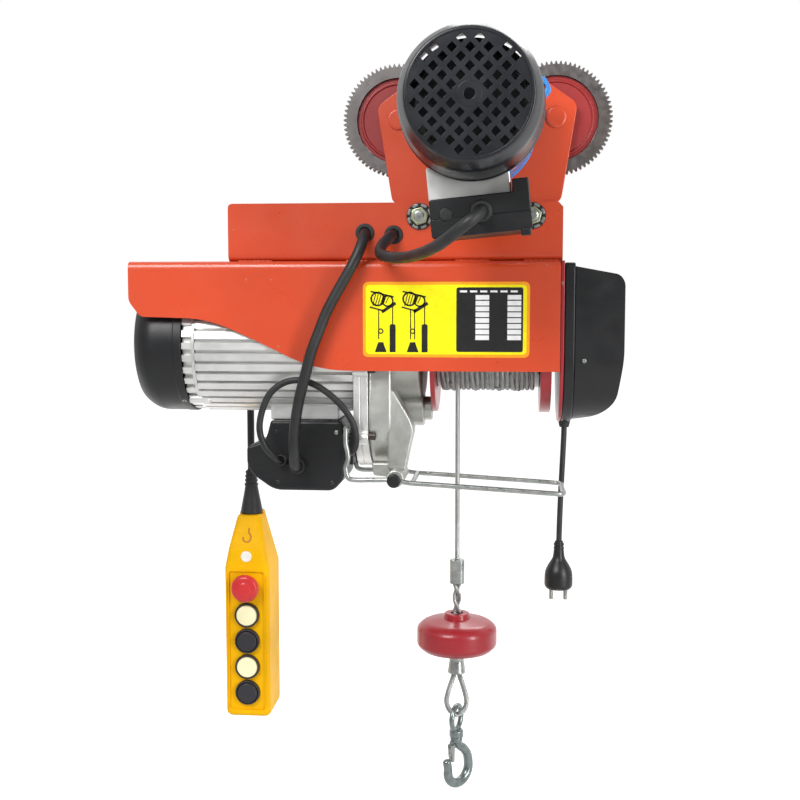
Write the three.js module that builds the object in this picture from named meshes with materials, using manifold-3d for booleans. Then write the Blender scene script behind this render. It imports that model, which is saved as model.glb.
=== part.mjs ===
// Electric wire rope hoist on a motor-driven beam trolley, as an assembly of separate pieces.
// Millimetres, +Z up, +X along the beam and the rope drum, -Y towards the trolley motor.
// The origin is the trolley's centre, at the height where its wheels roll on the beam's flange.

import * as THREE from 'three';
import { mergeVertices } from 'three/addons/utils/BufferGeometryUtils.js';
import Module from 'manifold-3d';

const wasm = await Module();
wasm.setup();

// ---- Driving dimensions ----

const GAP = 0.3;                     // space left between pieces that touch
const FINE = 18;                     // sides of large round forms
const COARSE = 8;                    // sides of small round forms
const EGG_SIDES = 28;                // sides of the gearbox's egg-shaped outlines

// Trolley
const WHEEL_X = 78;                  // each wheel axle's distance from the centre
const AXLE_R = 8;
const TREAD_R = 30;
const WHEEL_Z = TREAD_R;
const PLATE_Y = 58.7;                // inner face of each side plate
const PLATE_T = 4;
const TROLLEY_MODULE = 1.5;
const WHEEL_TEETH = 73;
const PINION_TEETH = 32;
const GEAR_FROM_Y = -54;
const GEAR_TO_Y = -45;
const CROSS_BOLT_X = 56;
const CROSS_BOLT_Z = -66;
const REDUCTION_MODULE = 1.15;       // gear pairs inside the trolley gearbox
const REDUCTION_SMALL = 12;
const REDUCTION_LARGE = 36;
const TROLLEY_TILT = THREE.MathUtils.degToRad(5.5);

// Channel and frame
const CHANNEL = { left: -251, right: 86, half: 66, floor: -109.7, top: -52, sheet: 3 };
const FRAME = { left: -353, right: 84, half: 76, top: -110, bottom: -220, sheet: 3 };
const CABLE_HOLES = [{ x: -111, z: -82 }, { x: -82, z: -84 }];

// Hoist machinery on the drum axis
const AXIS_Z = -196;
const IDLER_Z = -264;
const MOTOR_R = 72;
const HOIST_MODULE = 2;
const ROTOR_TEETH = 12;
const IDLER_LARGE = 56;
const IDLER_SMALL = 14;
const DRUM_TEETH = 54;
const SHAFT_R = 10;
const MOTOR_SHAFT_R = 9;
const IDLER_SHAFT_R = 7;
const DRUM_FLANGE_R = 71;
const BARREL_R = 40;
const WINDING_R = 48.5;
const END_R = 76;

// Rope, weight and hook
const ROPE = { x: -18, y: -46, r: 2.5, top: -218.5 };
const FERRULE = { top: -417, bottom: -442.3 };
const WEIGHT = { top: -479, bottom: -512, r: 41.5 };
const LOWER_FERRULE_BOTTOM = -537;
const EYE_TURN = THREE.MathUtils.degToRad(70);      // the hook's eye and the hook itself, about the rope
const HOOK_TURN = THREE.MathUtils.degToRad(50);
const EYE = { z: -586, r: 12.5, wire: 2.8 };
const COLLAR = { top: -599, bottom: -606 };
const BOWL = { u: 3, z: -641, r: 16, wire: 5.5 };
const LATCH = { pivotU: -7.6, pivotZ: -615, tipU: -7.4, tipZ: -631.5 };

// Limit bail
const PIVOT = { x: -80, z: -329.5, r: 4 };
const BAIL = { near: -82, far: -10, left: -128, right: 89, top: -278, wire: 2.5 };

// Pendant
const PENDANT = { x: -270.5, y: 112, half: 32 };
const CORD_TOP_Z = -148.5;            // just under the tab that carries the pendant
const BUTTON_R = 12.5;
const BUTTONS = { button_up: -518, button_down: -549, button_left: -580, button_right: -611 };
const ESTOP_Z = -484;

// ---- Materials ----

function finish(colour, roughness, metalness) {
  return new THREE.MeshStandardMaterial({ color: colour, roughness, metalness });
}

const RED = finish(0xdd4427, 0.42, 0.1);
const DARK_RED = finish(0xa92420, 0.45, 0.1);
const BLUE = finish(0x2f7fc2, 0.4, 0.1);
const YELLOW = finish(0xeaa90a, 0.4, 0);
const BLACK = finish(0x1b1c1f, 0.45, 0);
const CREAM = finish(0xefe8cf, 0.4, 0);
const ESTOP_RED = finish(0xc22a2c, 0.35, 0);
const CAST = finish(0xb9babc, 0.5, 0.8);
const STEEL = finish(0x8f8f90, 0.35, 0.9);
const ZINC = finish(0xb8b9b2, 0.35, 0.9);
const COPPER = finish(0x9a5a36, 0.4, 0.7);

// ---- Solid helpers ----

// Joins the vertices that meet, drops empty triangles and points every face outwards.
function closed(geometry) {
  const bare = geometry.clone();
  bare.deleteAttribute('normal');
  bare.deleteAttribute('uv');
  const merged = mergeVertices(bare, 1e-3);
  const place = merged.attributes.position;
  const corners = merged.index.array;
  const kept = [];
  const a = new THREE.Vector3();
  const b = new THREE.Vector3();
  const c = new THREE.Vector3();
  let volume = 0;
  for (let i = 0; i < corners.length; i += 3) {
    const [p, q, r] = [corners[i], corners[i + 1], corners[i + 2]];
    if (p === q || q === r || r === p) continue;
    kept.push(p, q, r);
    a.fromBufferAttribute(place, p);
    b.fromBufferAttribute(place, q);
    c.fromBufferAttribute(place, r);
    volume += a.dot(b.cross(c));
  }
  merged.setIndex(volume < 0 ? kept.reverse() : kept);
  return merged;
}

function toManifold(geometry) {
  const shell = closed(geometry);
  return new wasm.Manifold(new wasm.Mesh({
    numProp: 3,
    vertProperties: Float32Array.from(shell.attributes.position.array),
    triVerts: Uint32Array.from(shell.index.array),
  }));
}

function toGeometry(manifold) {
  const mesh = manifold.getMesh();
  const geometry = new THREE.BufferGeometry();
  geometry.setAttribute('position', new THREE.BufferAttribute(mesh.vertProperties, 3));
  geometry.setIndex(new THREE.BufferAttribute(mesh.triVerts, 1));
  return geometry;
}

function join(...geometries) {
  return toGeometry(geometries.map(toManifold).reduce((all, next) => all.add(next)));
}

function cut(geometry, ...tools) {
  return toGeometry(tools.map(toManifold).reduce((rest, tool) => rest.subtract(tool), toManifold(geometry)));
}

function common(first, second) {
  return toGeometry(toManifold(first).intersect(toManifold(second)));
}

function block(x0, x1, y0, y1, z0, z1) {
  const box = new THREE.BoxGeometry(x1 - x0, y1 - y0, z1 - z0);
  return box.translate((x0 + x1) / 2, (y0 + y1) / 2, (z0 + z1) / 2);
}

// Turns a shape made around +Y so that it runs along the named axis.
function alongAxis(geometry, axis) {
  if (axis === 'x') return geometry.rotateZ(-Math.PI / 2);
  if (axis === 'z') return geometry.rotateX(Math.PI / 2);
  return geometry;
}

// Puts a shape made around an axis at its place across that axis, in the order X, Y, Z.
function across(geometry, axis, first, second) {
  if (axis === 'x') return geometry.translate(0, first, second);
  if (axis === 'y') return geometry.translate(first, 0, second);
  return geometry.translate(first, second, 0);
}

// A closed lathe outline of [radius, station] points, around an axis.
function turned(outline, axis, first = 0, second = 0, sides = FINE) {
  const points = outline.map(([radius, station]) => new THREE.Vector2(radius, station));
  const lathe = closed(new THREE.LatheGeometry(points, sides));
  return across(alongAxis(lathe, axis), axis, first, second);
}

function ring(inner, outer, from, to, axis, first = 0, second = 0, sides = FINE) {
  const outline = [[inner, from], [outer, from], [outer, to], [inner, to], [inner, from]];
  return turned(outline, axis, first, second, sides);
}

function rod(radius, from, to, axis, first = 0, second = 0, sides = COARSE) {
  const cylinder = new THREE.CylinderGeometry(radius, radius, to - from, sides);
  cylinder.translate(0, (from + to) / 2, 0);
  return across(alongAxis(cylinder, axis), axis, first, second);
}

// The tool for a round hole that a shaft of this radius turns in freely.
function bored(radius, from, to, axis, first = 0, second = 0, sides = COARSE) {
  return rod((radius + 0.2) / Math.cos(Math.PI / sides), from, to, axis, first, second, sides);
}

// A flat outline pushed along an axis. Its points are (Y, Z), (X, Z) or (X, Y) for axis x, y or z.
function pushed(shape, from, to, axis) {
  const options = { depth: to - from, bevelEnabled: false, curveSegments: 3 };
  const solid = new THREE.ExtrudeGeometry(shape, options);
  if (axis === 'x') return solid.rotateX(Math.PI / 2).rotateZ(Math.PI / 2).translate(from, 0, 0);
  if (axis === 'y') return solid.rotateX(Math.PI / 2).translate(0, to, 0);
  return solid.translate(0, 0, from);
}

// A polygon of [u, v, corner radius] points.
function outlineOf(points) {
  const shape = new THREE.Shape();
  points.forEach(([u, v, radius = 0], i) => {
    const here = new THREE.Vector2(u, v);
    const before = new THREE.Vector2(...points.at(i - 1).slice(0, 2));
    const after = new THREE.Vector2(...points[(i + 1) % points.length].slice(0, 2));
    const back = before.sub(here).normalize();
    const on = after.sub(here).normalize();
    const start = here.clone().addScaledVector(back, radius);
    const end = here.clone().addScaledVector(on, radius);
    if (i === 0) shape.moveTo(start.x, start.y);
    else shape.lineTo(start.x, start.y);
    if (radius > 0) shape.quadraticCurveTo(here.x, here.y, end.x, end.y);
  });
  shape.closePath();
  return shape;
}

// A U-shaped outline: straight down from the top, then half a circle.
function uShape(half, top, centreZ, cornerRadius = 0) {
  const shape = new THREE.Shape();
  shape.moveTo(-half, centreZ);
  shape.lineTo(-half, top - cornerRadius);
  shape.quadraticCurveTo(-half, top, -half + cornerRadius, top);
  shape.lineTo(half - cornerRadius, top);
  shape.quadraticCurveTo(half, top, half, top - cornerRadius);
  shape.lineTo(half, centreZ);
  const steps = 12;
  for (let i = 1; i < steps; i += 1) {
    const angle = (-Math.PI * i) / steps;
    shape.lineTo(half * Math.cos(angle), centreZ + half * Math.sin(angle));
  }
  shape.closePath();
  return shape;
}

// Two circles of different size wrapped by one outline, the first above the second.
function egg(upperR, upperZ, lowerR, lowerZ, sides = EGG_SIDES) {
  const spread = Math.asin((upperR - lowerR) / (upperZ - lowerZ));
  const shape = new THREE.Shape();
  const half = sides / 2;
  for (let i = 0; i <= half; i += 1) {
    const angle = -spread + ((Math.PI + 2 * spread) * i) / half;
    const [u, v] = [upperR * Math.cos(angle), upperZ + upperR * Math.sin(angle)];
    if (i === 0) shape.moveTo(u, v);
    else shape.lineTo(u, v);
  }
  for (let i = 0; i <= half; i += 1) {
    const angle = Math.PI + spread + ((Math.PI - 2 * spread) * i) / half;
    shape.lineTo(lowerR * Math.cos(angle), lowerZ + lowerR * Math.sin(angle));
  }
  shape.closePath();
  return shape;
}

// A round bar of a few sides along a smooth curve through the points.
function bar(points, radius, sides, steps, isLoop = false) {
  const path = new THREE.CatmullRomCurve3(points.map((p) => new THREE.Vector3(...p)), isLoop, 'centripetal');
  const section = new THREE.Shape();
  for (let i = 0; i < sides; i += 1) {
    const angle = (2 * Math.PI * i) / sides;
    if (i === 0) section.moveTo(radius, 0);
    else section.lineTo(radius * Math.cos(angle), radius * Math.sin(angle));
  }
  section.closePath();
  return new THREE.ExtrudeGeometry(section, { steps, extrudePath: path, bevelEnabled: false });
}

// ---- Gears ----

// A toothed outline around (0, 0) whose first tooth points at the angle phase. The teeth are pointed,
// with a thickness of two fifths of the pitch on the pitch circle, so that they run with backlash.
function toothed(teeth, module, phase) {
  const pitch = (2 * Math.PI) / teeth;
  const pitchR = (module * teeth) / 2;
  const shape = new THREE.Shape();
  for (let i = 0; i < teeth; i += 1) {
    const tip = phase + i * pitch;
    const root = tip + pitch / 2;
    const [tipR, rootR] = [pitchR + 0.8 * module, pitchR - 1.3 * module];
    if (i === 0) shape.moveTo(tipR * Math.cos(tip), tipR * Math.sin(tip));
    else shape.lineTo(tipR * Math.cos(tip), tipR * Math.sin(tip));
    shape.lineTo(rootR * Math.cos(root), rootR * Math.sin(root));
  }
  shape.closePath();
  return shape;
}

// The phase that puts gear B in mesh with gear A, which lies at the angle direction from it.
function meshPhase(phaseA, teethA, teethB, direction) {
  const turns = (direction - phaseA) / ((2 * Math.PI) / teethA);
  const share = turns - Math.floor(turns);
  return direction + Math.PI + (share + 0.5) * ((2 * Math.PI) / teethB);
}

function gear(teeth, module, phase, from, to, axis, first, second) {
  return across(pushed(toothed(teeth, module, phase), from, to, axis), axis, first, second);
}

// ---- The assembly ----

const hoist = new THREE.Group();

function add(name, geometry, material) {
  const mesh = new THREE.Mesh(closed(geometry), material);
  mesh.name = name;
  hoist.add(mesh);
}

// ---- Trolley ----

const TROLLEY_CENTRES = (TROLLEY_MODULE * (WHEEL_TEETH + PINION_TEETH)) / 2;
const PINION_Z = WHEEL_Z - Math.sqrt(TROLLEY_CENTRES ** 2 - WHEEL_X ** 2);
const MESH_ANGLE = Math.asin((WHEEL_Z - PINION_Z) / TROLLEY_CENTRES);

function sidePlate(inner, outer) {
  const outline = [
    [-50, 77.5, 8], [50, 77.5, 8], [99, 43, 8], [84, -50, 4], [66, -62, 4],
    [64, -98, 4], [-64, -98, 4], [-66, -62, 4], [-84, -50, 4], [-99, 43, 8],
  ];
  const holes = [-1, 1].flatMap((side) => [
    rod(6.4, inner - 1, outer + 1, 'y', side * WHEEL_X, WHEEL_Z),
    rod(5.4, inner - 1, outer + 1, 'y', side * CROSS_BOLT_X, CROSS_BOLT_Z),
  ]);
  return cut(pushed(outlineOf(outline), inner, outer, 'y'), ...holes);
}

function addSidePlates() {
  const outputHole = bored(8, -PLATE_Y - PLATE_T - 1, -PLATE_Y + 1, 'y', 0, PINION_Z);
  add('trolley_plate_near', cut(sidePlate(-PLATE_Y - PLATE_T, -PLATE_Y), outputHole), RED);
  add('trolley_plate_far', sidePlate(PLATE_Y, PLATE_Y + PLATE_T), RED);
}

function gearedWheel(x, phase) {
  const rim = gear(WHEEL_TEETH, TROLLEY_MODULE, phase, GEAR_FROM_Y, GEAR_TO_Y, 'y', x, WHEEL_Z);
  const tread = rod(TREAD_R, GEAR_TO_Y - 1, -19, 'y', x, WHEEL_Z, FINE);
  const dish = ring(16, 42, GEAR_FROM_Y - 1, GEAR_FROM_Y + 3.5, 'y', x, WHEEL_Z);
  const bore = bored(AXLE_R, GEAR_FROM_Y - 1, -18, 'y', x, WHEEL_Z);
  return cut(join(rim, tread), dish, bore);
}

function plainWheel(x) {
  const outline = [[0, 19], [TREAD_R, 19], [TREAD_R, 45], [38, 45], [38, 51], [14, 51], [14, 54], [0, 54]];
  return cut(turned(outline, 'y', x, WHEEL_Z), bored(AXLE_R, 18, 55, 'y', x, WHEEL_Z));
}

// A wheel's fixed axle: riveted through the plate, with a shoulder and an inner cap.
function wheelAxle(x, side) {
  const outline = [
    [0, 16], [11, 16], [11, 18.7], [AXLE_R, 18.7], [AXLE_R, 54.3], [10, 54.3], [10, 58.4],
    [6, 58.4], [6, 63], [10, 63], [10, 65], [0, 65],
  ];
  const stations = outline.map(([radius, y]) => [radius, side * y]);
  return turned(stations, 'y', x, WHEEL_Z, COARSE);
}

function addWheels() {
  const right = meshPhase(0, PINION_TEETH, WHEEL_TEETH, MESH_ANGLE);
  const left = meshPhase(0, PINION_TEETH, WHEEL_TEETH, Math.PI - MESH_ANGLE);
  add('geared_wheel_left', gearedWheel(-WHEEL_X, left), DARK_RED);
  add('geared_wheel_right', gearedWheel(WHEEL_X, right), DARK_RED);
  add('plain_wheel_left', plainWheel(-WHEEL_X), DARK_RED);
  add('plain_wheel_right', plainWheel(WHEEL_X), DARK_RED);
  add('near_axle_left', wheelAxle(-WHEEL_X, -1), RED);
  add('near_axle_right', wheelAxle(WHEEL_X, -1), RED);
  add('far_axle_left', wheelAxle(-WHEEL_X, 1), RED);
  add('far_axle_right', wheelAxle(WHEEL_X, 1), RED);
}

function crossBolt(x) {
  const outline = [
    [0, -75], [5, -75], [5, -73], [9, -73], [9, -66.3], [5, -66.3], [5, 66.3], [9, 66.3], [9, 72.5], [0, 72.5],
  ];
  return turned(outline, 'y', x, CROSS_BOLT_Z, COARSE);
}

// The trolley gearbox: two gear pairs between the motor shaft and the drive pinion.
const REDUCTION_CENTRES = (REDUCTION_MODULE * (REDUCTION_SMALL + REDUCTION_LARGE)) / 2;
const COUNTER_Z = PINION_Z + REDUCTION_CENTRES;

function reductionGear(teeth, phase, from, to, z) {
  return gear(teeth, REDUCTION_MODULE, phase, from, to, 'y', 0, z);
}

function drivePinion() {
  const pinion = gear(PINION_TEETH, TROLLEY_MODULE, 0, GEAR_FROM_Y, GEAR_TO_Y, 'y', 0, PINION_Z);
  const shaft = rod(7, -84.5, GEAR_FROM_Y + 0.5, 'y', 0, PINION_Z);
  const wheel = reductionGear(REDUCTION_LARGE, 0, -94, -84, PINION_Z);
  return join(pinion, shaft, wheel);
}

function trolleyCountershaft() {
  const small = meshPhase(0, REDUCTION_LARGE, REDUCTION_SMALL, Math.PI / 2);
  const smallGear = reductionGear(REDUCTION_SMALL, small, -94, -84, COUNTER_Z);
  const largeGear = reductionGear(REDUCTION_LARGE, 0, -103, -96, COUNTER_Z);
  return join(smallGear, largeGear, rod(4, -104.5, -72, 'y', 0, COUNTER_Z));
}

function trolleyRotor() {
  const phase = meshPhase(0, REDUCTION_LARGE, REDUCTION_SMALL, -Math.PI / 2);
  const outline = [
    [0, -236], [6, -236], [6, -228], [46, -228], [46, -223], [12, -223], [12, -215], [6, -215],
    [6, -175], [36, -175], [36, -125], [6, -125], [6, -97], [0, -97],
  ];
  return join(turned(outline, 'y', 0, PINION_Z, 14), reductionGear(REDUCTION_SMALL, phase, -103, -96.2, PINION_Z));
}

function trolleyGearbox() {
  const shell = turned(
    [[8, -110], [54, -110], [58, -106], [58, -63], [52, -63], [52, -105], [8, -105], [8, -110]],
    'y', 0, PINION_Z,
  );
  const lugs = [27, 147, 267].map((degrees) => {
    const angle = THREE.MathUtils.degToRad(degrees);
    const [u, v] = [66 * Math.cos(angle), PINION_Z + 66 * Math.sin(angle)];
    return cut(rod(12, -110, -96, 'y', u, v), rod(4.5, -111, -95, 'y', u + 3 * Math.cos(angle), v + 3 * Math.sin(angle)));
  });
  const cavity = rod(52, -105, -62, 'y', 0, PINION_Z, FINE);
  return cut(join(shell, ...lugs), cavity);
}

function trolleyMotorBody() {
  const shell = turned(
    [[8, -192], [58, -192], [58, -110.3], [38, -110.3], [38, -186], [8, -186], [8, -192]],
    'y', 0, PINION_Z,
  );
  const foot = block(-46, 28, -185, -130, -57.7, -28);
  const bore = rod(38, -186, -110, 'y', 0, PINION_Z, FINE);
  return cut(join(shell, tiltOnTrolley(foot)), bore);
}

// The trolley motor is turned a little about its own axis.
function tiltOnTrolley(geometry) {
  return geometry.translate(0, 0, -PINION_Z).rotateY(-TROLLEY_TILT).translate(0, 0, PINION_Z);
}

function trolleyFanCover() {
  return turned(
    [
      [61.8, -192.3], [64.4, -192.3], [61.5, -246], [54, -263], [0, -263], [0, -260.4], [52.5, -260.4],
      [59, -245], [61.8, -192.3],
    ],
    'y', 0, PINION_Z,
  );
}

function trolleyTerminalBox() {
  const outline = [
    [-45, -58, 3], [29, -58, 1], [29, -47, 2], [43.5, -47, 2], [43.5, -92, 3], [-45, -92, 3],
  ];
  const body = pushed(outlineOf(outline), -205, -140, 'y');
  const cavity = block(-41, 39, -201, -139, -88, -62);
  return tiltOnTrolley(cut(body, cavity));
}

function addTrolleyDrive() {
  add('drive_pinion', drivePinion(), STEEL);
  add('trolley_countershaft', trolleyCountershaft(), STEEL);
  add('trolley_rotor', trolleyRotor(), STEEL);
  add('trolley_gearbox', trolleyGearbox(), BLUE);
  add('trolley_motor_body', trolleyMotorBody(), CAST);
  add('trolley_fan_cover', trolleyFanCover(), BLACK);
  add('trolley_terminal_box', trolleyTerminalBox(), BLACK);
}

// ---- Channel, frame and end plate ----

function bothSides(tool) {
  return [-1, 1].map((side) => tool(side));
}

function hangerChannel() {
  const { left, right, half, floor, top, sheet } = CHANNEL;
  const outer = pushed(outlineOf([[-half, top], [-half, floor, 7], [half, floor, 7], [half, top]]), left, right, 'x');
  const innerHalf = half - sheet;
  const inner = pushed(
    outlineOf([[-innerHalf, top + 1], [-innerHalf, floor + sheet, 4], [innerHalf, floor + sheet, 4], [innerHalf, top + 1]]),
    left - 1, right + 1, 'x',
  );
  const boltHoles = bothSides((side) => rod(5.4, -half - 1, half + 1, 'y', side * CROSS_BOLT_X, CROSS_BOLT_Z));
  const cableHoles = CABLE_HOLES.map(({ x, z }) => rod(7.5, -half - 1, -innerHalf + 1, 'y', x, z));
  return cut(outer, inner, ...boltHoles, ...cableHoles);
}

function frameShell() {
  const { left, right, half, top, bottom, sheet } = FRAME;
  const low = bottom - 10;
  const innerHalf = half - sheet;
  const skin = cut(
    pushed(outlineOf([[-half, low], [-half, top, 8], [half, top, 8], [half, low]]), left, right, 'x'),
    pushed(
      outlineOf([[-innerHalf, low - 1], [-innerHalf, top - sheet, 5], [innerHalf, top - sheet, 5], [innerHalf, low - 1]]),
      left - 1, right + 1, 'x',
    ),
  );
  const side = outlineOf([
    [left, top + 1], [right, top + 1], [right, bottom], [-160, bottom, 22], [-227, -187, 20], [-272, -168, 14],
    [-341, -166, 4], [left, -150, 4],
  ]);
  const trimmed = common(skin, pushed(side, -half - 1, half + 1, 'y'));
  const { x, y } = PENDANT;
  const tab = cut(block(x - 15, x + 15, half - 1, y + 14, -147, -143), rod(5, -150, -140, 'z', x, y));
  return join(trimmed, tab);
}

function addFrame() {
  add('hanger_channel', hangerChannel(), RED);
  add('cross_bolt_left', crossBolt(-CROSS_BOLT_X), ZINC);
  add('cross_bolt_right', crossBolt(CROSS_BOLT_X), ZINC);
  add('frame_shell', frameShell(), RED);
  const plate = pushed(uShape(END_R, FRAME.top, -200.5, 4), FRAME.right + GAP, 88, 'x');
  add('end_plate', cut(plate, bored(SHAFT_R, 80, 90, 'x', 0, AXIS_Z)), DARK_RED);
}

// ---- Hoist motor ----

const HOUSING = { from: -287, to: -124.3, tipR: 71.5, rootR: 66.5, fins: 40, boreR: 58 };

function finnedOutline() {
  const { tipR, rootR, fins, boreR } = HOUSING;
  const pitch = (2 * Math.PI) / fins;
  const shape = new THREE.Shape();
  for (let i = 0; i < fins; i += 1) {
    const corners = [[rootR, -0.26], [tipR, -0.18], [tipR, 0.18], [rootR, 0.26]];
    corners.forEach(([radius, share], k) => {
      const angle = (i + share) * pitch;
      const [u, v] = [radius * Math.cos(angle), AXIS_Z + radius * Math.sin(angle)];
      if (i === 0 && k === 0) shape.moveTo(u, v);
      else shape.lineTo(u, v);
    });
  }
  shape.closePath();
  shape.holes.push(new THREE.Path().absarc(0, AXIS_Z, boreR, 0, 2 * Math.PI, true));
  return shape;
}

function motorHousing() {
  const fins = new THREE.ExtrudeGeometry(finnedOutline(), {
    depth: HOUSING.to - HOUSING.from, bevelEnabled: false, curveSegments: 14,
  });
  fins.rotateX(Math.PI / 2).rotateZ(Math.PI / 2).translate(HOUSING.from, 0, 0);
  const foot = block(-216, -144, -31, 31, -274.7, -262);
  return join(fins, foot);
}

function motorRotor() {
  const outline = [
    [0, -345], [MOTOR_SHAFT_R, -345], [MOTOR_SHAFT_R, -252], [37.3, -252], [37.3, -162],
    [MOTOR_SHAFT_R, -162], [MOTOR_SHAFT_R, -96], [0, -96],
  ];
  const shaft = turned(outline, 'x', 0, AXIS_Z);
  const pinion = gear(ROTOR_TEETH, HOIST_MODULE, ROTOR_PHASE, -107.5, -96.5, 'x', 0, AXIS_Z);
  return join(shaft, pinion);
}

function coolingFan() {
  const disc = turned(
    [[9.4, -340], [58, -340], [58, -337], [16, -337], [16, -322], [9.4, -322], [9.4, -340]], 'x', 0, AXIS_Z,
  );
  const blades = [];
  const count = 6;
  for (let i = 0; i < count; i += 1) {
    const blade = block(-337.5, -323, -1.2, 1.2, 14, 56);
    blades.push(blade.rotateX((2 * Math.PI * i) / count).translate(0, 0, AXIS_Z));
  }
  return join(disc, ...blades);
}

function motorFanCover() {
  return turned(
    [
      [69.3, -301], [MOTOR_R, -301], [MOTOR_R, -341], [61, -354], [0, -354], [0, -351.4], [60, -351.4],
      [69.3, -340], [69.3, -301],
    ],
    'x', 0, AXIS_Z,
  );
}

function addHoistMotor() {
  add('motor_housing', motorHousing(), CAST);
  add('stator_core', ring(38.5, 57, -252, -162, 'x', 0, AXIS_Z), COPPER);
  add('motor_end_shield', ring(MOTOR_SHAFT_R + 0.5, 70, -300.7, -287.3, 'x', 0, AXIS_Z), CAST);
  add('motor_rotor', motorRotor(), STEEL);
  add('cooling_fan', coolingFan(), BLACK);
  add('motor_fan_cover', motorFanCover(), BLACK);
}

// ---- Hoist gearbox ----

const ROTOR_PHASE = 0;
const IDLER_PHASE = meshPhase(ROTOR_PHASE, ROTOR_TEETH, IDLER_LARGE, -Math.PI / 2);
const DRUM_PHASE = meshPhase(0, IDLER_SMALL, DRUM_TEETH, Math.PI / 2);

function gearboxFlange() {
  const plate = pushed(egg(66, AXIS_Z, 61.5, IDLER_Z), -124, -109, 'x');
  const ears = block(-124, -109, -72.7, 72.7, -215, -150);
  const shaftHole = bored(MOTOR_SHAFT_R, -125, -108, 'x', 0, AXIS_Z);
  const bearing = bored(IDLER_SHAFT_R, -118, -108, 'x', 0, IDLER_Z);
  return cut(join(plate, ears), shaftHole, bearing);
}

function gearboxCase() {
  const pan = pushed(egg(59, AXIS_Z, 60.6, IDLER_Z), -108.7, -85, 'x');
  const wheelHouse = rod(59, -86, -55, 'x', 0, AXIS_Z, EGG_SIDES);
  const pinionHouse = rod(19, -86, -55, 'x', 0, IDLER_Z, EGG_SIDES);
  const boss = rod(12.6, -56, -47, 'x', 0, IDLER_Z);
  const armOutline = [[-90, -240], [-84, -240], [-66, -270], [-62, -281], [-71, -323], [-89, -323]];
  const arm = pushed(outlineOf(armOutline), -58, -34, 'y');
  const barrel = rod(9, -75, -17, 'y', PIVOT.x, PIVOT.z);
  const panCavity = pushed(egg(56.8, AXIS_Z, 58.8, IDLER_Z), -109, -87, 'x');
  const wheelCavity = rod(56.8, -88, -58.5, 'x', 0, AXIS_Z, EGG_SIDES);
  const pinionCavity = rod(16.8, -88, -58.5, 'x', 0, IDLER_Z, EGG_SIDES);
  const shaftHole = bored(SHAFT_R, -60, -46, 'x', 0, AXIS_Z);
  const bearing = bored(IDLER_SHAFT_R, -60, -50, 'x', 0, IDLER_Z);
  const barrelHole = bored(PIVOT.r, -76, -16, 'y', PIVOT.x, PIVOT.z);
  const body = join(pan, wheelHouse, pinionHouse, boss, arm, barrel);
  return cut(body, panCavity, wheelCavity, pinionCavity, shaftHole, bearing, barrelHole);
}

function idlerGear() {
  const large = gear(IDLER_LARGE, HOIST_MODULE, IDLER_PHASE, -107, -96.5, 'x', 0, IDLER_Z);
  const small = gear(IDLER_SMALL, HOIST_MODULE, 0, -83, -62, 'x', 0, IDLER_Z);
  return join(large, small, rod(IDLER_SHAFT_R, -117, -51, 'x', 0, IDLER_Z));
}

function outputShaft() {
  const wheel = gear(DRUM_TEETH, HOIST_MODULE, DRUM_PHASE, -82, -63, 'x', 0, AXIS_Z);
  return join(wheel, rod(SHAFT_R, -86, 87.7, 'x', 0, AXIS_Z));
}

function addGearbox() {
  add('gearbox_flange', gearboxFlange(), CAST);
  add('gearbox_case', gearboxCase(), CAST);
  add('idler_gear', idlerGear(), STEEL);
  add('output_shaft', outputShaft(), STEEL);
}

// ---- Drum and rope ----

function ropeDrum() {
  const bore = SHAFT_R + 0.5;
  return turned(
    [
      [bore, -46.5], [DRUM_FLANGE_R, -46.5], [DRUM_FLANGE_R, -41], [BARREL_R, -41], [BARREL_R, 65.6],
      [DRUM_FLANGE_R, 65.6], [DRUM_FLANGE_R, 76.7], [36, 76.7], [36, -38], [18, -38], [18, 76.7],
      [bore, 76.7], [bore, -46.5],
    ],
    'x', 0, AXIS_Z,
  );
}

// Two strands side by side, the live rope and its returned end.
function ropeReturn() {
  const { x, y, r } = ROPE;
  const ferrule = common(rod(8, FERRULE.bottom, FERRULE.top, 'z', x, y), block(x - 9, x + 9, y - 6, y + 6, -450, -400));
  const strands = [-1, 1].map((side) => rod(r, LOWER_FERRULE_BOTTOM, FERRULE.top - 1, 'z', x + side * 2.2, y, 10));
  const lowerFerrule = rod(9.5, LOWER_FERRULE_BOTTOM, WEIGHT.bottom - GAP, 'z', x, y);
  return join(ferrule, ...strands, lowerFerrule);
}

function limitWeight() {
  const { x, y } = ROPE;
  const { top, bottom, r } = WEIGHT;
  return turned(
    [
      [6, bottom], [r - 6, bottom], [r, bottom + 6], [r, top - 9], [r - 7, top - 3], [14, top + 1],
      [13, top + 6], [6, top + 6], [6, bottom],
    ],
    'z', x, y,
  );
}

// The rope's end bent round a thimble below the lower ferrule.
function ropeEye() {
  const { x, y } = ROPE;
  const top = LOWER_FERRULE_BOTTOM - GAP;
  const route = [
    [x - 3.1, y, top], [x - 3.1, y, top - 3], [x - 5, y, top - 9], [x - 9, y, top - 22], [x - 10.5, y, top - 32], [x - 7, y, top - 41],
    [x, y, top - 45], [x + 7, y, top - 41], [x + 10.5, y, top - 32], [x + 9, y, top - 22], [x + 5, y, top - 9],
    [x + 3.1, y, top - 3], [x + 3.1, y, top],
  ];
  return bar(route, 2.9, 8, 22);
}

// Turns a piece of the hook, made in the X-Z plane, about the rope.
function aboutRope(geometry, turn) {
  return geometry.rotateZ(turn).translate(ROPE.x, ROPE.y, 0);
}

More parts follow.
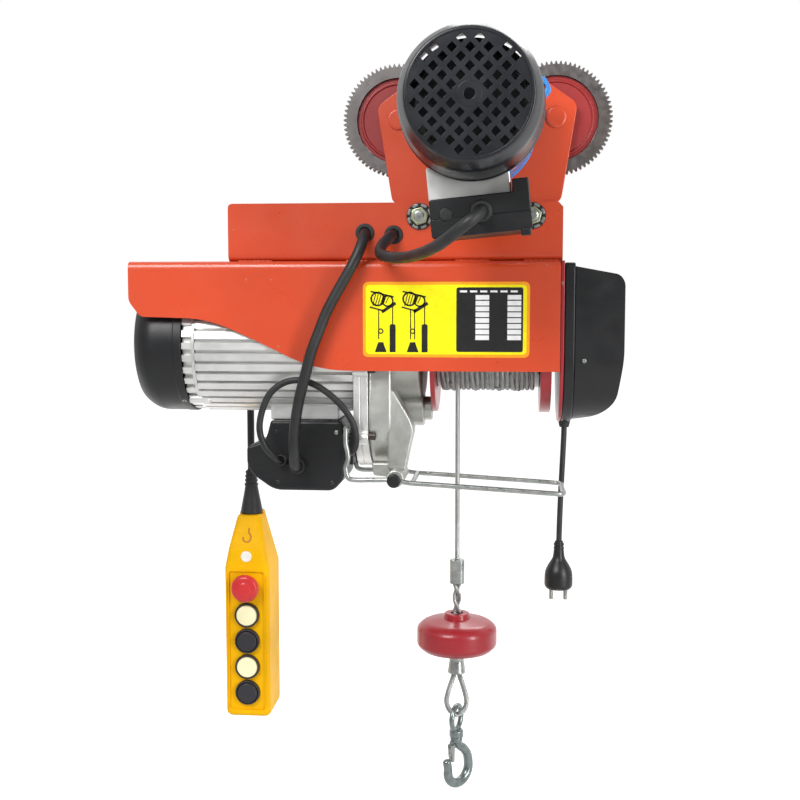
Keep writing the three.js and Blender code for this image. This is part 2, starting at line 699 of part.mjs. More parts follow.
// The hook's upper eye, with a collar that the shank turns in.
function hookEye() {
  const loop = new THREE.TorusGeometry(EYE.r, EYE.wire, 8, 20).rotateX(Math.PI / 2).translate(0, 0, EYE.z);
  const collar = rod(7.5, COLLAR.bottom, COLLAR.top, 'z');
  const socket = bored(4, COLLAR.bottom - 1, COLLAR.top - 3, 'z');
  return aboutRope(cut(join(loop, collar), socket), EYE_TURN);
}

function loadHook() {
  const top = COLLAR.bottom - GAP;
  const route = [[0, 0, top - 3.5], [2.5, 0, top - 9], [11, 0, -622], [17, 0, -630]];
  const steps = 9;
  for (let i = 0; i <= steps; i += 1) {
    const angle = THREE.MathUtils.degToRad(10 - (200 * i) / steps);
    route.push([BOWL.u + BOWL.r * Math.cos(angle), 0, BOWL.z + BOWL.r * Math.sin(angle)]);
  }
  route.push([-15, 0, -627]);
  const body = bar(route, BOWL.wire, 8, 24);
  const shoulder = rod(6.5, top - 5, top, 'z');
  const shank = rod(4, top - 1, COLLAR.top - 4, 'z');
  const lug = block(-9.6, 2, -1.2, 1.2, -618, top - 3);
  return aboutRope(join(body, shoulder, shank, lug), HOOK_TURN);
}

// The sprung latch, a bent plate that straddles the lug on the shank.
function hookLatch() {
  const { pivotU, pivotZ, tipU, tipZ } = LATCH;
  const outline = outlineOf([
    [pivotU - 3, pivotZ + 2, 1.5], [pivotU + 2.6, pivotZ + 2, 1.5], [tipU + 1.6, tipZ], [tipU - 0.4, tipZ],
  ]);
  const plate = pushed(outline, -3.2, 3.2, 'y');
  const slot = block(pivotU - 4, pivotU + 8, -1.6, 1.6, pivotZ - 6, pivotZ + 4);
  return aboutRope(cut(plate, slot), HOOK_TURN);
}

function addDrumAndRope() {
  add('rope_drum', ropeDrum(), DARK_RED);
  add('rope_winding', ring(BARREL_R + GAP, WINDING_R, -40.7, 65.3, 'x', 0, AXIS_Z), ZINC);
  add('wire_rope', rod(ROPE.r, FERRULE.top + GAP, ROPE.top, 'z', ROPE.x, ROPE.y, 10), ZINC);
  add('rope_return', ropeReturn(), ZINC);
  add('limit_weight', limitWeight(), DARK_RED);
  add('rope_eye', ropeEye(), ZINC);
  add('hook_eye', hookEye(), ZINC);
  add('load_hook', loadHook(), ZINC);
  add('hook_latch', hookLatch(), ZINC);
}

// ---- Limit bail and switch ----

// One wire bent round the rope, with two arms that reach up to the switch, and its pivot pin.
function limitBail() {
  const { near, far, left, right, top, wire } = BAIL;
  const arm = (y) => [
    [left - 1, y, top], [left - 1, y, -292], [left + 1.5, y, -307], [left - 1, y, -318], [left + 1.5, y, -328],
    [left + 5, y, PIVOT.z], [-100, y, PIVOT.z], [PIVOT.x, y, PIVOT.z], [-66, y, -332], [-40, y, -333.5],
    [20, y, -337], [right - 10, y, -340.5],
  ];
  const route = [
    ...arm(near), [right - 3, near + 1, -341], [right, near + 6, -341.2], [right, (near + far) / 2, -341.2],
    [right, far - 6, -341.2], [right - 3, far - 1, -341], ...arm(far).reverse(),
  ];
  const wireLoop = bar(route, wire, 6, 60);
  const topBar = rod(wire, near - 1, far + 1, 'y', left - 1, top, 8);
  const closingBar = rod(wire, near, far, 'y', -62, -332.3, 8);
  const pin = rod(PIVOT.r, near - 7, far + 7, 'y', PIVOT.x, PIVOT.z);
  const caps = [rod(7, near - 8, near - 3, 'y', PIVOT.x, PIVOT.z), rod(7, far + 3, far + 8, 'y', PIVOT.x, PIVOT.z)];
  return join(wireLoop, topBar, closingBar, pin, ...caps);
}

const SWITCH = { left: -136.6, right: -124.7, near: -58, far: -34, top: -287, bottom: -318 };

function limitSwitch() {
  const { left, right, near, far, top, bottom } = SWITCH;
  const bore = rod(3.3, -296, top + 1, 'z', -130.5, (near + far) / 2);
  return cut(block(left, right, near, far, bottom, top), bore);
}

function addLimitSwitch() {
  add('limit_bail', limitBail(), ZINC);
  add('limit_switch', limitSwitch(), BLACK);
  add('limit_plunger', rod(3, -291, BAIL.top - BAIL.wire - 0.4, 'z', -130.5, ROPE.y, 16), ZINC);
}

// ---- Electrical housings ----

function terminalBox() {
  const outline = outlineOf([
    [-215, -275, 2], [-141, -275, 2], [-137, -280, 2], [-137, -336, 3], [-148, -349, 3], [-213, -349, 3],
    [-236, -333, 3], [-241, -322, 3], [-241, -303, 3], [-219, -297],
  ]);
  const cavity = block(-212, -144, -34, 34, -344, -274);
  return cut(pushed(outline, -38, 38, 'y'), cavity);
}

const CONTROL = { from: 88.3, joint: 98.5, to: 147 };

function controlBoxCover() {
  const { joint, to } = CONTROL;
  const wall = 2.5;
  const side = (inset) => outlineOf([
    [joint + GAP - inset, -116 - inset], [to - 5 - inset, -124 - inset, 4], [to - inset, -131 - inset, 4],
    [to - inset, -206, 10], [to - 6 - inset, -252 + inset, 12], [to - 22 - inset, -267 + inset, 8],
    [joint + GAP - inset, -272.5 + inset],
  ]);
  const outer = common(pushed(uShape(74, -112, -200.5, 5), joint + GAP, to, 'x'), pushed(side(0), -80, 80, 'y'));
  const inner = common(
    pushed(uShape(74 - wall, -112 - wall, -200.5, 5), joint, to - wall, 'x'), pushed(side(wall), -80, 80, 'y'),
  );
  return cut(outer, inner);
}

function powerPlug() {
  const [x, y] = [88.5, 2];
  const body = turned(
    [
      [0, -405.3], [4.5, -405.3], [6.5, -425], [12, -432], [15, -440], [15, -455], [12.5, -457], [0, -457],
    ],
    'z', x, y, COARSE,
  );
  const pins = bothSides((side) => rod(2.2, -469, -456, 'z', x + side * 7.5, y, 12));
  return join(body, ...pins);
}

function addElectrics() {
  add('terminal_box', terminalBox(), BLACK);
  add('control_box_base', pushed(uShape(END_R, -112, -200.5, 5), CONTROL.from, CONTROL.joint, 'x'), BLACK);
  add('control_box_cover', controlBoxCover(), BLACK);
  add('power_cord', bar(POWER_CORD, 3, 8, 10), BLACK);
  add('power_plug', powerPlug(), BLACK);
  add('trolley_cable', bar(TROLLEY_CABLE, 5.5, 8, 40), BLACK);
  add('switch_cable', bar(SWITCH_CABLE, 3.4, 8, 24), BLACK);
}

// ---- Cord routes ----

const POWER_CORD = [
  [92.5, 2, -276.9], [92.4, 2, -288], [91.8, 2, -305], [90.8, 2, -330], [89.8, 2, -355], [88.9, 2, -385], [88.5, 2, -405],
];

// From the hoist's terminal box up the frame, through the channel and on to the trolley's terminal box.
const TROLLEY_CABLE = [
  [-186, -38.4, -322], [-186, -50, -321.5], [-185.5, -61, -315], [-184.8, -67, -300], [-182.5, -73, -278],
  [-176.5, -80, -249], [-169.5, -86, -226], [-162.5, -88, -201], [-154.5, -88, -180], [-146.7, -88, -161],
  [-133.2, -88, -136.2], [-121, -88, -115], [-113.5, -84, -98], [-111, -76, -87], [-111, -64.5, -82],
  [-114, -50, -82], [-121, -36, -84], [-119, -18, -87], [-105, -8, -90], [-88, -9, -90], [-76, -20, -88],
  [-75, -36, -85], [-80, -51, -84], [-82, -64.5, -84], [-85, -76, -87], [-91, -87, -95], [-92, -98, -103],
  [-83, -111, -107.5], [-66, -132, -109], [-50, -164, -107.5], [-36, -193, -104], [-23, -215, -98],
  [-10, -227, -89], [1, -230, -81], [7.5, -224, -75], [9, -214, -72.5], [9, -205.4, -72],
];

// From the hoist's terminal box over to the limit switch.
const SWITCH_CABLE = [
  [-203, -38.4, -316], [-203, -48, -316], [-206, -60, -311], [-214, -69, -299], [-219, -72, -283], [-217, -72, -264],
  [-208, -72, -244], [-194, -72, -233], [-178, -72, -230], [-163, -72, -234], [-146, -72, -245],
  [-131, -72, -260], [-122.5, -72, -275], [-120, -72, -290], [-122, -71, -300], [-128, -69, -305],
  [-130.5, -64, -306], [-130.5, -58.5, -306],
];

// ---- Pendant ----

// The pendant's outer form, or the same form a wall's thickness inside it.
function pendantForm(wall) {
  const { x, y, half } = PENDANT;
  const w = wall;
  const frontView = outlineOf([
    [x - 14 + w, -402 - w, 3], [x + 14 - w, -402 - w, 3], [x + 26.5 - w, -462, 6], [x + 26.5 - w, -641 + w, 9],
    [x - 26.5 + w, -641 + w, 9], [x - 26.5 + w, -462, 6],
  ]);
  const sideView = outlineOf([
    [y - 17 + w, -402 - w, 3], [y + 15 - w, -402 - w, 3], [y + half - w, -462, 6], [y + half - w, -641 + w, 6],
    [y - half + w, -641 + w, 6], [y - half + w, -440, 6],
  ]);
  return common(
    pushed(frontView, y - half - 5, y + half + 5, 'y'), pushed(sideView, x - 40, x + 40, 'x'),
  );
}

const PANEL_Y = PENDANT.y - PENDANT.half + 2.5;      // the recessed floor that carries the buttons

function pendantHalves() {
  const { x, y, half } = PENDANT;
  const shell = cut(pendantForm(0), pendantForm(2.6), rod(9, -410, -400, 'z', x, y));
  const panel = block(x - 22.5, x + 22.5, PANEL_Y, PANEL_Y + 2.5, -634, -464);
  const recess = block(x - 21, x + 21, y - half - 5, PANEL_Y, -632, -466);
  const openings = Object.values(BUTTONS).map((z) => bored(BUTTON_R, 70, 95, 'y', x, z));
  openings.push(bored(8, 70, 95, 'y', x, ESTOP_Z));
  const frontSide = common(shell, block(x - 50, x + 50, y - 50, y - GAP / 2, -660, -390));
  const front = cut(join(frontSide, panel), recess, ...openings);
  const back = common(shell, block(x - 50, x + 50, y + GAP / 2, y + 50, -660, -390));
  return { front, back };
}

function pushButton(z) {
  const outline = [
    [0, 76], [BUTTON_R - 1.5, 76], [BUTTON_R, 77.5], [BUTTON_R, 85.4], [14, 85.4], [14, 88.5], [0, 88.5],
  ];
  return turned(outline, 'y', PENDANT.x, z, 14);
}

function estopButton() {
  const outline = [
    [0, 64], [9, 64.5], [15, 67], [16.3, 70], [16.3, 73], [14, 75], [8, 75.5], [8, 90], [10, 90], [10, 93], [0, 93],
  ];
  return turned(outline, 'y', PENDANT.x, ESTOP_Z, 14);
}

function addPendant() {
  const { x, y } = PENDANT;
  const { front, back } = pendantHalves();
  const boot = [[0, -350], [6, -350], [7, -356], [12.5, -396], [13.5, -401.6], [0, -401.6]];
  add('pendant_cord', bar([[x, y, CORD_TOP_Z], [x, y, -230], [x, y, -290], [x, y, -349.7]], 4.2, 8, 10), BLACK);
  add('pendant_boot', turned(boot, 'z', x, y, COARSE), BLACK);
  add('pendant_front', front, YELLOW);
  add('pendant_back', back, YELLOW);
  add('estop_button', estopButton(), ESTOP_RED);
  Object.entries(BUTTONS).forEach(([name, z], i) => add(name, pushButton(z), i % 2 ? BLACK : CREAM));
}

addSidePlates();
addWheels();
addTrolleyDrive();
addFrame();
addHoistMotor();
addGearbox();
addDrumAndRope();
addLimitSwitch();
addElectrics();
addPendant();

export default hoist;
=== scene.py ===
"""Electric wire rope hoist on a motor-driven beam trolley: the fine pieces and materials.

Sizes are in millimetres in the part's own frame, as in the part's source. Only the routes of the
cords, the camera and the lamps are in metres, and so is every mesh.
"""
import math
import random

import bmesh
import bpy
from mathutils import Matrix, Vector


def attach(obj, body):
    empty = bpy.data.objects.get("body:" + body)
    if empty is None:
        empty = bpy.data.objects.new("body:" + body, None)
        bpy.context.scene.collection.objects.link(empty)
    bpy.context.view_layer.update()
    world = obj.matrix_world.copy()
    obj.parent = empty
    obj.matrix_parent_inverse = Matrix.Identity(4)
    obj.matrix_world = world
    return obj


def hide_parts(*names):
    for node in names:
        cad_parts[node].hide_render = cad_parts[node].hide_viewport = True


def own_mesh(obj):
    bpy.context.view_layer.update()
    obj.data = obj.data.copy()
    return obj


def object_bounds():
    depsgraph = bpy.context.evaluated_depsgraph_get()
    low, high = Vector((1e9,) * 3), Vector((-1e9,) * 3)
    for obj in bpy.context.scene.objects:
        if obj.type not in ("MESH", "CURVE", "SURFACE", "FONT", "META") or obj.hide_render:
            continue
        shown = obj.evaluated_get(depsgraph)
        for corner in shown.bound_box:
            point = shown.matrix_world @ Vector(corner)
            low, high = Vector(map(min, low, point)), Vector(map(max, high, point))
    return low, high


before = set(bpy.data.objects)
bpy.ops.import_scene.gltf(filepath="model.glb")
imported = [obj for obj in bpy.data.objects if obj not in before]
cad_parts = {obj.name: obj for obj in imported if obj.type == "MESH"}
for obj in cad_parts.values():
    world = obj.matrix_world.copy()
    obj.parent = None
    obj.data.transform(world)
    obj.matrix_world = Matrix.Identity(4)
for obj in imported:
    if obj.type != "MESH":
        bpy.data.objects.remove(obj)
cad_box = [list(corner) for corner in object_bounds()]

MM = 0.001
TAU = 2 * math.pi

# ---- Driving dimensions, the same as the part's ----

WHEEL_X, WHEEL_Z = 78, 30
TROLLEY_MODULE, WHEEL_TEETH, PINION_TEETH = 1.5, 73, 32
CENTRES = TROLLEY_MODULE * (WHEEL_TEETH + PINION_TEETH) / 2
PINION_Z = WHEEL_Z - math.sqrt(CENTRES ** 2 - WHEEL_X ** 2)
MESH_ANGLE = math.atan2(WHEEL_Z - PINION_Z, WHEEL_X)
BOLT_X, BOLT_Z = 56, -66
TROLLEY_TILT = math.radians(5.5)
AXIS_Z, IDLER_Z = -196, -264
ROPE_X, ROPE_Y = -18, -46
ROPE_TOP, FERRULE_TOP, FERRULE_BOTTOM = -218.5, -417, -442.3
HOOK_TURN, EYE_TURN = math.radians(50), math.radians(70)
PIVOT_X, PIVOT_Z = -80, -329.5
PENDANT_X, PENDANT_Y = -270.5, 112
ESTOP_Z = -484
BUTTON_Z = {"button_up": -518, "button_down": -549, "button_left": -580, "button_right": -611}

# ---- Camera, floor and light ----

LENS, SENSOR = 51.75, 36
CAMERA_PLACE, CAMERA_TURN = (0.03555, -1.22071, -0.149), (85.03, 0, 5.5)
FLOOR_DROP, FLOOR_RADIUS = 0.35, 14
WHITE = (1, 1, 1, 1)


def aim_camera():
    data = bpy.data.cameras.new("camera")
    data.lens, data.sensor_width = LENS, SENSOR
    camera = bpy.data.objects.new("camera", data)
    camera.location = CAMERA_PLACE
    camera.rotation_euler = [math.radians(degrees) for degrees in CAMERA_TURN]
    bpy.context.scene.collection.objects.link(camera)
    bpy.context.scene.camera = camera


def softbox(name, place, target, width, height, power):
    data = bpy.data.lights.new(name, "AREA")
    data.shape = "RECTANGLE"
    data.size, data.size_y = width, height
    data.energy = power
    lamp = bpy.data.objects.new(name, data)
    lamp.location = place
    direction = Vector(target) - Vector(place)
    lamp.rotation_euler = direction.to_track_quat("-Z", "Y").to_euler()
    bpy.context.scene.collection.objects.link(lamp)


def map_range(nodes, links, value, start, end, low, high):
    """A value between start and end, carried over to the range from low to high."""
    ramp = nodes.new("ShaderNodeMapRange")
    for socket, number in (("From Min", start), ("From Max", end), ("To Min", low), ("To Max", high)):
        ramp.inputs[socket].default_value = number
    links.new(value, ramp.inputs["Value"])
    return ramp.outputs["Result"]


def back_to_front(nodes, links, place, start, end, low, high):
    """A value that goes from low at the front of the studio to high at its back wall."""
    split = nodes.new("ShaderNodeSeparateXYZ")
    links.new(place, split.inputs["Vector"])
    return map_range(nodes, links, split.outputs["Y"], start, end, low, high)


def light_studio():
    scene = bpy.context.scene
    scene.view_settings.view_transform = "Standard"
    world = bpy.data.worlds.new("studio")
    world.use_nodes = True
    nodes, links = world.node_tree.nodes, world.node_tree.links
    backdrop = nodes["Background"]
    backdrop.inputs["Color"].default_value = WHITE
    direction = nodes.new("ShaderNodeTexCoord").outputs["Generated"]
    links.new(back_to_front(nodes, links, direction, -0.2, 0.45, 0.36, 1.0), backdrop.inputs["Strength"])
    scene.world = world
    middle = (-0.1, 0, -0.25)
    softbox("key", (-0.8, -1.5, 1.0), middle, 0.9, 0.9, 31)
    softbox("fill", (1.3, -1.2, 0.0), middle, 0.35, 1.4, 22)
    softbox("rim", (0.3, 1.6, 1.2), middle, 1.2, 0.6, 12)


def lay_floor():
    bm = bmesh.new()
    bmesh.ops.create_circle(bm, cap_ends=True, segments=64, radius=FLOOR_RADIUS)
    floor = bpy.data.objects.new("floor", bpy.data.meshes.new("floor"))
    bm.to_mesh(floor.data)
    floor.location = (0, 0, cad_box[0][2] - FLOOR_DROP)
    matt = bpy.data.materials.new("floor")
    matt.use_nodes = True
    nodes, links = matt.node_tree.nodes, matt.node_tree.links
    shader = nodes["Principled BSDF"]
    shader.inputs["Roughness"].default_value = 0.9
    shader.inputs["Emission Color"].default_value = WHITE
    place = nodes.new("ShaderNodeTexCoord").outputs["Object"]
    # Painted light and shade on the floor: its colour is painted darker towards the front and paler towards the
    # back, and towards the back it glows, a painted pool of light that fades it into the backdrop.
    links.new(back_to_front(nodes, links, place, -0.2, 0.8, 0.6, 0.93), shader.inputs["Base Color"])
    links.new(back_to_front(nodes, links, place, 0.2, 0.8, 0.0, 0.5), shader.inputs["Emission Strength"])
    floor.data.materials.append(matt)
    bpy.context.scene.collection.objects.link(floor)


aim_camera()
light_studio()
lay_floor()

# ---- Materials ----


class Surface:
    """A Principled material whose colour, roughness and bump come from noise in the object's own frame."""

    def __init__(self, name, roughness, metallic=0.0, coat=0.0):
        self.material = bpy.data.materials.new(name)
        self.material.use_nodes = True
        self.nodes = self.material.node_tree.nodes
        self.links = self.material.node_tree.links
        self.shader = self.nodes["Principled BSDF"]
        self.shader.inputs["Metallic"].default_value = metallic
        self.shader.inputs["Coat Weight"].default_value = coat
        self.shader.inputs["Coat Roughness"].default_value = 0.12
        self.base_roughness = roughness
        self.place = self.nodes.new("ShaderNodeTexCoord").outputs["Object"]

    def noise(self, scale, detail=3.0, stretch=(1, 1, 1)):
        mapping = self.nodes.new("ShaderNodeMapping")
        mapping.inputs["Scale"].default_value = stretch
        self.links.new(self.place, mapping.inputs["Vector"])
        node = self.nodes.new("ShaderNodeTexNoise")
        node.inputs["Scale"].default_value = scale
        node.inputs["Detail"].default_value = detail
        self.links.new(mapping.outputs["Vector"], node.inputs["Vector"])
        return node.outputs["Fac"]

    def spread(self, value, low, high, start=0.3, end=0.7):
        return map_range(self.nodes, self.links, value, start, end, low, high)

    def mix(self, share, first, second):
        node = self.nodes.new("ShaderNodeMix")
        node.data_type = "RGBA"
        self.links.new(share, node.inputs["Factor"])
        for socket, colour in ((node.inputs["A"], first), (node.inputs["B"], second)):
            if isinstance(colour, tuple):
                socket.default_value = (*colour, 1)
            else:
                self.links.new(colour, socket)
        return node.outputs["Result"]

    def edges(self):
        """High on the outer edges, where a dense mesh lets them be told."""
        pointed = self.nodes.new("ShaderNodeNewGeometry").outputs["Pointiness"]
        return self.spread(pointed, 0, 1, 0.515, 0.56)

    def multiply(self, first, second):
        node = self.nodes.new("ShaderNodeMath")
        node.operation = "MULTIPLY"
        self.links.new(first, node.inputs[0])
        self.links.new(second, node.inputs[1])
        return node.outputs["Value"]

    def colour(self, value):
        self.links.new(value, self.shader.inputs["Base Color"])

    def rough(self, value, swing):
        low, high = self.base_roughness - swing, self.base_roughness + swing
        self.links.new(self.spread(value, low, high), self.shader.inputs["Roughness"])

    def bump(self, *layers):
        """Each layer is (height, strength, distance in metres)."""
        normal = None
        for height, strength, distance in layers:
            node = self.nodes.new("ShaderNodeBump")
            node.inputs["Strength"].default_value = strength
            node.inputs["Distance"].default_value = distance
            self.links.new(height, node.inputs["Height"])
            if normal is not None:
                self.links.new(normal, node.inputs["Normal"])
            normal = node.outputs["Normal"]
        self.links.new(normal, self.shader.inputs["Normal"])


def shade(colour, factor):
    return tuple(min(1.0, channel * factor) for channel in colour)


def powder_coat(name, colour, wear_colour, roughness=0.33, coat=0.35):
    """Thick sprayed paint: orange peel, slight clouds of tone and a few small chips."""
    s = Surface(name, roughness, coat=coat)
    clouds = s.spread(s.noise(7, 3), 0, 1)
    toned = s.mix(clouds, shade(colour, 0.9), shade(colour, 1.08))
    flecks = s.spread(s.noise(260, 4), 0, 1, 0.62, 0.7)
    dusty = s.mix(s.multiply(flecks, s.spread(s.noise(18), 0, 0.35)), toned, shade(colour, 0.7))
    chips = s.spread(s.noise(110, 5), 0, 0.6, 0.735, 0.76)
    s.colour(s.mix(chips, dusty, wear_colour))
    s.rough(s.noise(34, 4), 0.06)
    s.bump((s.noise(420, 2), 0.16, 0.0004), (s.noise(2200, 2), 0.05, 0.0002))
    return s.material


def moulded_plastic(name, colour, roughness, grain=0.14, coat=0.0):
    """Moulded plastic with a fine spark-eroded grain and pale scuffs."""
    s = Surface(name, roughness, coat=coat)
    clouds = s.spread(s.noise(12, 4), 0, 1)
    toned = s.mix(clouds, shade(colour, 0.88), shade(colour, 1.12))
    scuffs = s.spread(s.noise(70, 5, (1, 1, 3)), 0, 0.5, 0.62, 0.74)
    s.colour(s.mix(scuffs, toned, tuple(channel * 1.2 + 0.006 for channel in colour)))
    s.rough(s.noise(45, 5), 0.07)
    s.bump((s.noise(1500, 3), grain, 0.0003), (s.noise(30, 2), 0.05, 0.001))
    return s.material


def cast_metal(name, colour, roughness, pits=0.3):
    """Cast or extruded aluminium: sandy skin, grey blooms and bright handled edges."""
    s = Surface(name, roughness, metallic=0.85)
    blooms = s.spread(s.noise(22, 6), 0, 1)
    toned = s.mix(blooms, shade(colour, 0.78), shade(colour, 1.1))
    stains = s.spread(s.noise(9, 5), 0, 0.45, 0.52, 0.72)
    stained = s.mix(stains, toned, (0.3, 0.29, 0.25))
    bright = s.multiply(s.edges(), s.spread(s.noise(120, 3), 0.1, 0.7))
    s.colour(s.mix(bright, stained, (0.86, 0.86, 0.85)))
    s.rough(s.noise(70, 5), 0.1)
    s.bump((s.noise(700, 5), pits, 0.0004), (s.noise(60, 3), 0.1, 0.001))
    return s.material


def machined_steel(name, colour, roughness):
    """Bare turned and cut steel with fine tool lines and an oily bloom."""
    s = Surface(name, roughness, metallic=0.95)
    bloom = s.spread(s.noise(28, 5), 0, 1)
    toned = s.mix(bloom, shade(colour, 0.72), shade(colour, 1.1))
    oily = s.spread(s.noise(11, 4), 0, 0.5, 0.5, 0.75)
    s.colour(s.mix(oily, toned, (0.13, 0.1, 0.085)))
    s.rough(s.noise(160, 5, (1, 6, 1)), 0.1)
    s.bump((s.noise(900, 3, (1, 8, 1)), 0.16, 0.0002))
    return s.material


def zinc_plate(name, colour, roughness=0.33):
    """Zinc plating: a slightly green-grey metal with cloudy spangles."""
    s = Surface(name, roughness, metallic=0.9)
    spangle = s.spread(s.noise(130, 6), 0, 1)
    toned = s.mix(spangle, shade(colour, 0.78), shade(colour, 1.12))
    tarnish = s.spread(s.noise(24, 5), 0, 0.5, 0.52, 0.74)
    s.colour(s.mix(tarnish, toned, (0.28, 0.29, 0.25)))
    s.rough(s.noise(150, 4), 0.1)
    s.bump((s.noise(520, 5), 0.18, 0.0003))
    return s.material


def cable_sheath(name, colour):
    """Extruded rubber sheath: matt, with faint dust and a fine drawn grain."""
    s = Surface(name, 0.5)
    dust = s.spread(s.noise(35, 5), 0, 1)
    s.colour(s.mix(dust, shade(colour, 0.75), tuple(channel * 1.3 + 0.004 for channel in colour)))
    s.rough(s.noise(90, 4), 0.08)
    s.bump((s.noise(1800, 3), 0.15, 0.0002))
    return s.material


def printed(name, colour):
    """Printed vinyl film with a little ink unevenness."""
    s = Surface(name, 0.3, coat=0.2)
    ink = s.spread(s.noise(150, 4), 0, 1)
    s.colour(s.mix(ink, shade(colour, 0.93), shade(colour, 1.03)))
    s.rough(s.noise(60, 3), 0.05)
    s.bump((s.noise(350, 2), 0.05, 0.0002))
    return s.material


PRIMER = (0.36, 0.33, 0.3)
RED = powder_coat("red_powder_coat", (0.6, 0.06, 0.015), PRIMER)
DARK_RED = powder_coat("dark_red_paint", (0.32, 0.01, 0.017), PRIMER, 0.36, 0.3)
DISH_RED = powder_coat("wheel_dish_paint", (0.3, 0.02, 0.02), PRIMER, 0.42, 0.2)
BLUE = powder_coat("blue_enamel", (0.03, 0.21, 0.56), (0.45, 0.46, 0.48), 0.32, 0.4)
BLACK = moulded_plastic("black_moulding", (0.006, 0.0064, 0.0075), 0.4)
FAN_BLACK = moulded_plastic("fan_cover_plastic", (0.009, 0.01, 0.013), 0.3, 0.14)
YELLOW = moulded_plastic("yellow_moulding", (0.84, 0.44, 0.002), 0.46, 0.08)
YELLOW.node_tree.nodes["Principled BSDF"].inputs["Specular IOR Level"].default_value = 0.1
AMBER = moulded_plastic("amber_emblem", (0.5, 0.19, 0.004), 0.4, 0.06)
CREAM = moulded_plastic("cream_moulding", (0.88, 0.82, 0.52), 0.36, 0.06, 0.1)
BUTTON_BLACK = moulded_plastic("black_button", (0.022, 0.021, 0.026), 0.42, 0.1)
ESTOP_RED = moulded_plastic("stop_button_red", (0.56, 0.02, 0.022), 0.3, 0.05, 0.2)
BADGE_WHITE = moulded_plastic("white_badge", (0.82, 0.8, 0.76), 0.4, 0.05)
ALUMINIUM = cast_metal("extruded_aluminium", (0.84, 0.84, 0.82), 0.42, 0.12)
CAST = cast_metal("cast_aluminium", (0.5, 0.51, 0.47), 0.44, 0.35)
STEEL = machined_steel("machined_steel", (0.19, 0.175, 0.17), 0.42)
DARK_STEEL = machined_steel("blackened_steel", (0.06, 0.06, 0.062), 0.4)
COPPER = machined_steel("varnished_winding", (0.5, 0.2, 0.08), 0.4)
ZINC = zinc_plate("zinc_plate", (0.44, 0.46, 0.44))
HOOK_ZINC = zinc_plate("blue_passivated_zinc", (0.25, 0.29, 0.285), 0.3)
NUT_ZINC = zinc_plate("green_passivated_zinc", (0.5, 0.55, 0.38))
ROPE = zinc_plate("galvanised_wire", (0.42, 0.43, 0.42), 0.4)
RUBBER = cable_sheath("cable_sheath", (0.012, 0.0125, 0.013))
LABEL_YELLOW = printed("label_yellow", (0.93, 0.84, 0.0))
LABEL_ORANGE = printed("label_orange", (0.93, 0.36, 0.01))
LABEL_BLACK = printed("label_black", (0.012, 0.012, 0.012))
LABEL_WHITE = printed("label_white", (0.84, 0.84, 0.84))

# ---- Shape helpers: outlines and lines are in millimetres, and each bmesh is in metres ----

SMOOTH_ANGLE, BEVEL_ANGLE = math.radians(34), math.radians(40)
STRANDS = 6


def along(axis, u, v, w):
    """A point whose plane position is (u, v) and whose station on the axis is w."""
    return Vector({"x": (w, u, v), "y": (u, w, v), "z": (u, v, w)}[axis]) * MM


def rounded(points, radius=0.0, closed=True, steps=5):
    """The outline through [u, v] or [u, v, corner radius] points, with smooth corners."""
    out = []
    count = len(points)
    for i, point in enumerate(points):
        here = Vector(point[:2])
        corner = point[2] if len(point) > 2 else radius
        inner = closed or 0 < i < count - 1
        if not inner or corner <= 0:
            out.append(here)
            continue
        back = Vector(points[i - 1][:2]) - here
        on = Vector(points[(i + 1) % count][:2]) - here
        reach = min(corner, back.length * 0.48, on.length * 0.48)
        start = here + back.normalized() * reach
        end = here + on.normalized() * reach
        for k in range(steps + 1):
            t = k / steps
            out.append(start * (1 - t) ** 2 + here * (2 * t * (1 - t)) + end * t * t)
    return [tuple(p) for p in out]


def polar(radius, angle, u=0.0, v=0.0):
    """The point at an angle on a circle about (u, v)."""
    return (u + radius * math.cos(angle), v + radius * math.sin(angle))


def circle(radius, u=0.0, v=0.0, sides=48, turn=0.0):
    return [polar(radius, turn + TAU * i / sides, u, v) for i in range(sides)]


def ribbed(tip, root, count, root_half, tip_half, v, u=0.0, phase=0.0):
    """A round outline with tapered ribs or teeth, whose half widths are shares of their pitch."""
    pitch = TAU / count
    flanks = ((-root_half, root), (-tip_half, tip), (tip_half, tip), (root_half, root))
    return [
        polar(radius, phase + (i + share) * pitch, u, v)
        for i in range(count) for share, radius in flanks
    ]


def tidy(bm):
    bmesh.ops.remove_doubles(bm, verts=bm.verts, dist=1e-7)
    bmesh.ops.recalc_face_normals(bm, faces=bm.faces)
    return bm


def lathe(profile, axis, u=0.0, v=0.0, sides=72, edge=0.5):
    """Turns an (r, station) profile about the axis. A profile that leaves the axis closes on itself."""
    on_axis = profile[0][0] == 0 and profile[-1][0] == 0
    line = rounded(profile, edge, closed=not on_axis, steps=3)
    bm = bmesh.new()
    rings = []
    for radius, station in line:
        if radius < 1e-6:
            rings.append([bm.verts.new(along(axis, u, v, station))])
            continue
        spots = circle(radius, u, v, sides)
        rings.append([bm.verts.new(along(axis, p, q, station)) for p, q in spots])
    pairs = list(zip(rings, rings[1:]))
    if not on_axis:
        pairs.append((rings[-1], rings[0]))
    for first, second in pairs:
        for i in range(sides):
            j = (i + 1) % sides
            around = ((first, i), (first, j), (second, j), (second, i))
            corners = list(dict.fromkeys(ring[k % len(ring)] for ring, k in around))
            if len(corners) > 2:
                bm.faces.new(corners)
    return tidy(bm)


def cylinder(radius, start, end, axis, u=0.0, v=0.0, sides=40, edge=0.5, inner=0):
    """A round bar between two stations, or a ring if it has an inner radius."""
    return lathe([(inner, start), (radius, start), (radius, end), (inner, end)], axis, u, v, sides, edge)


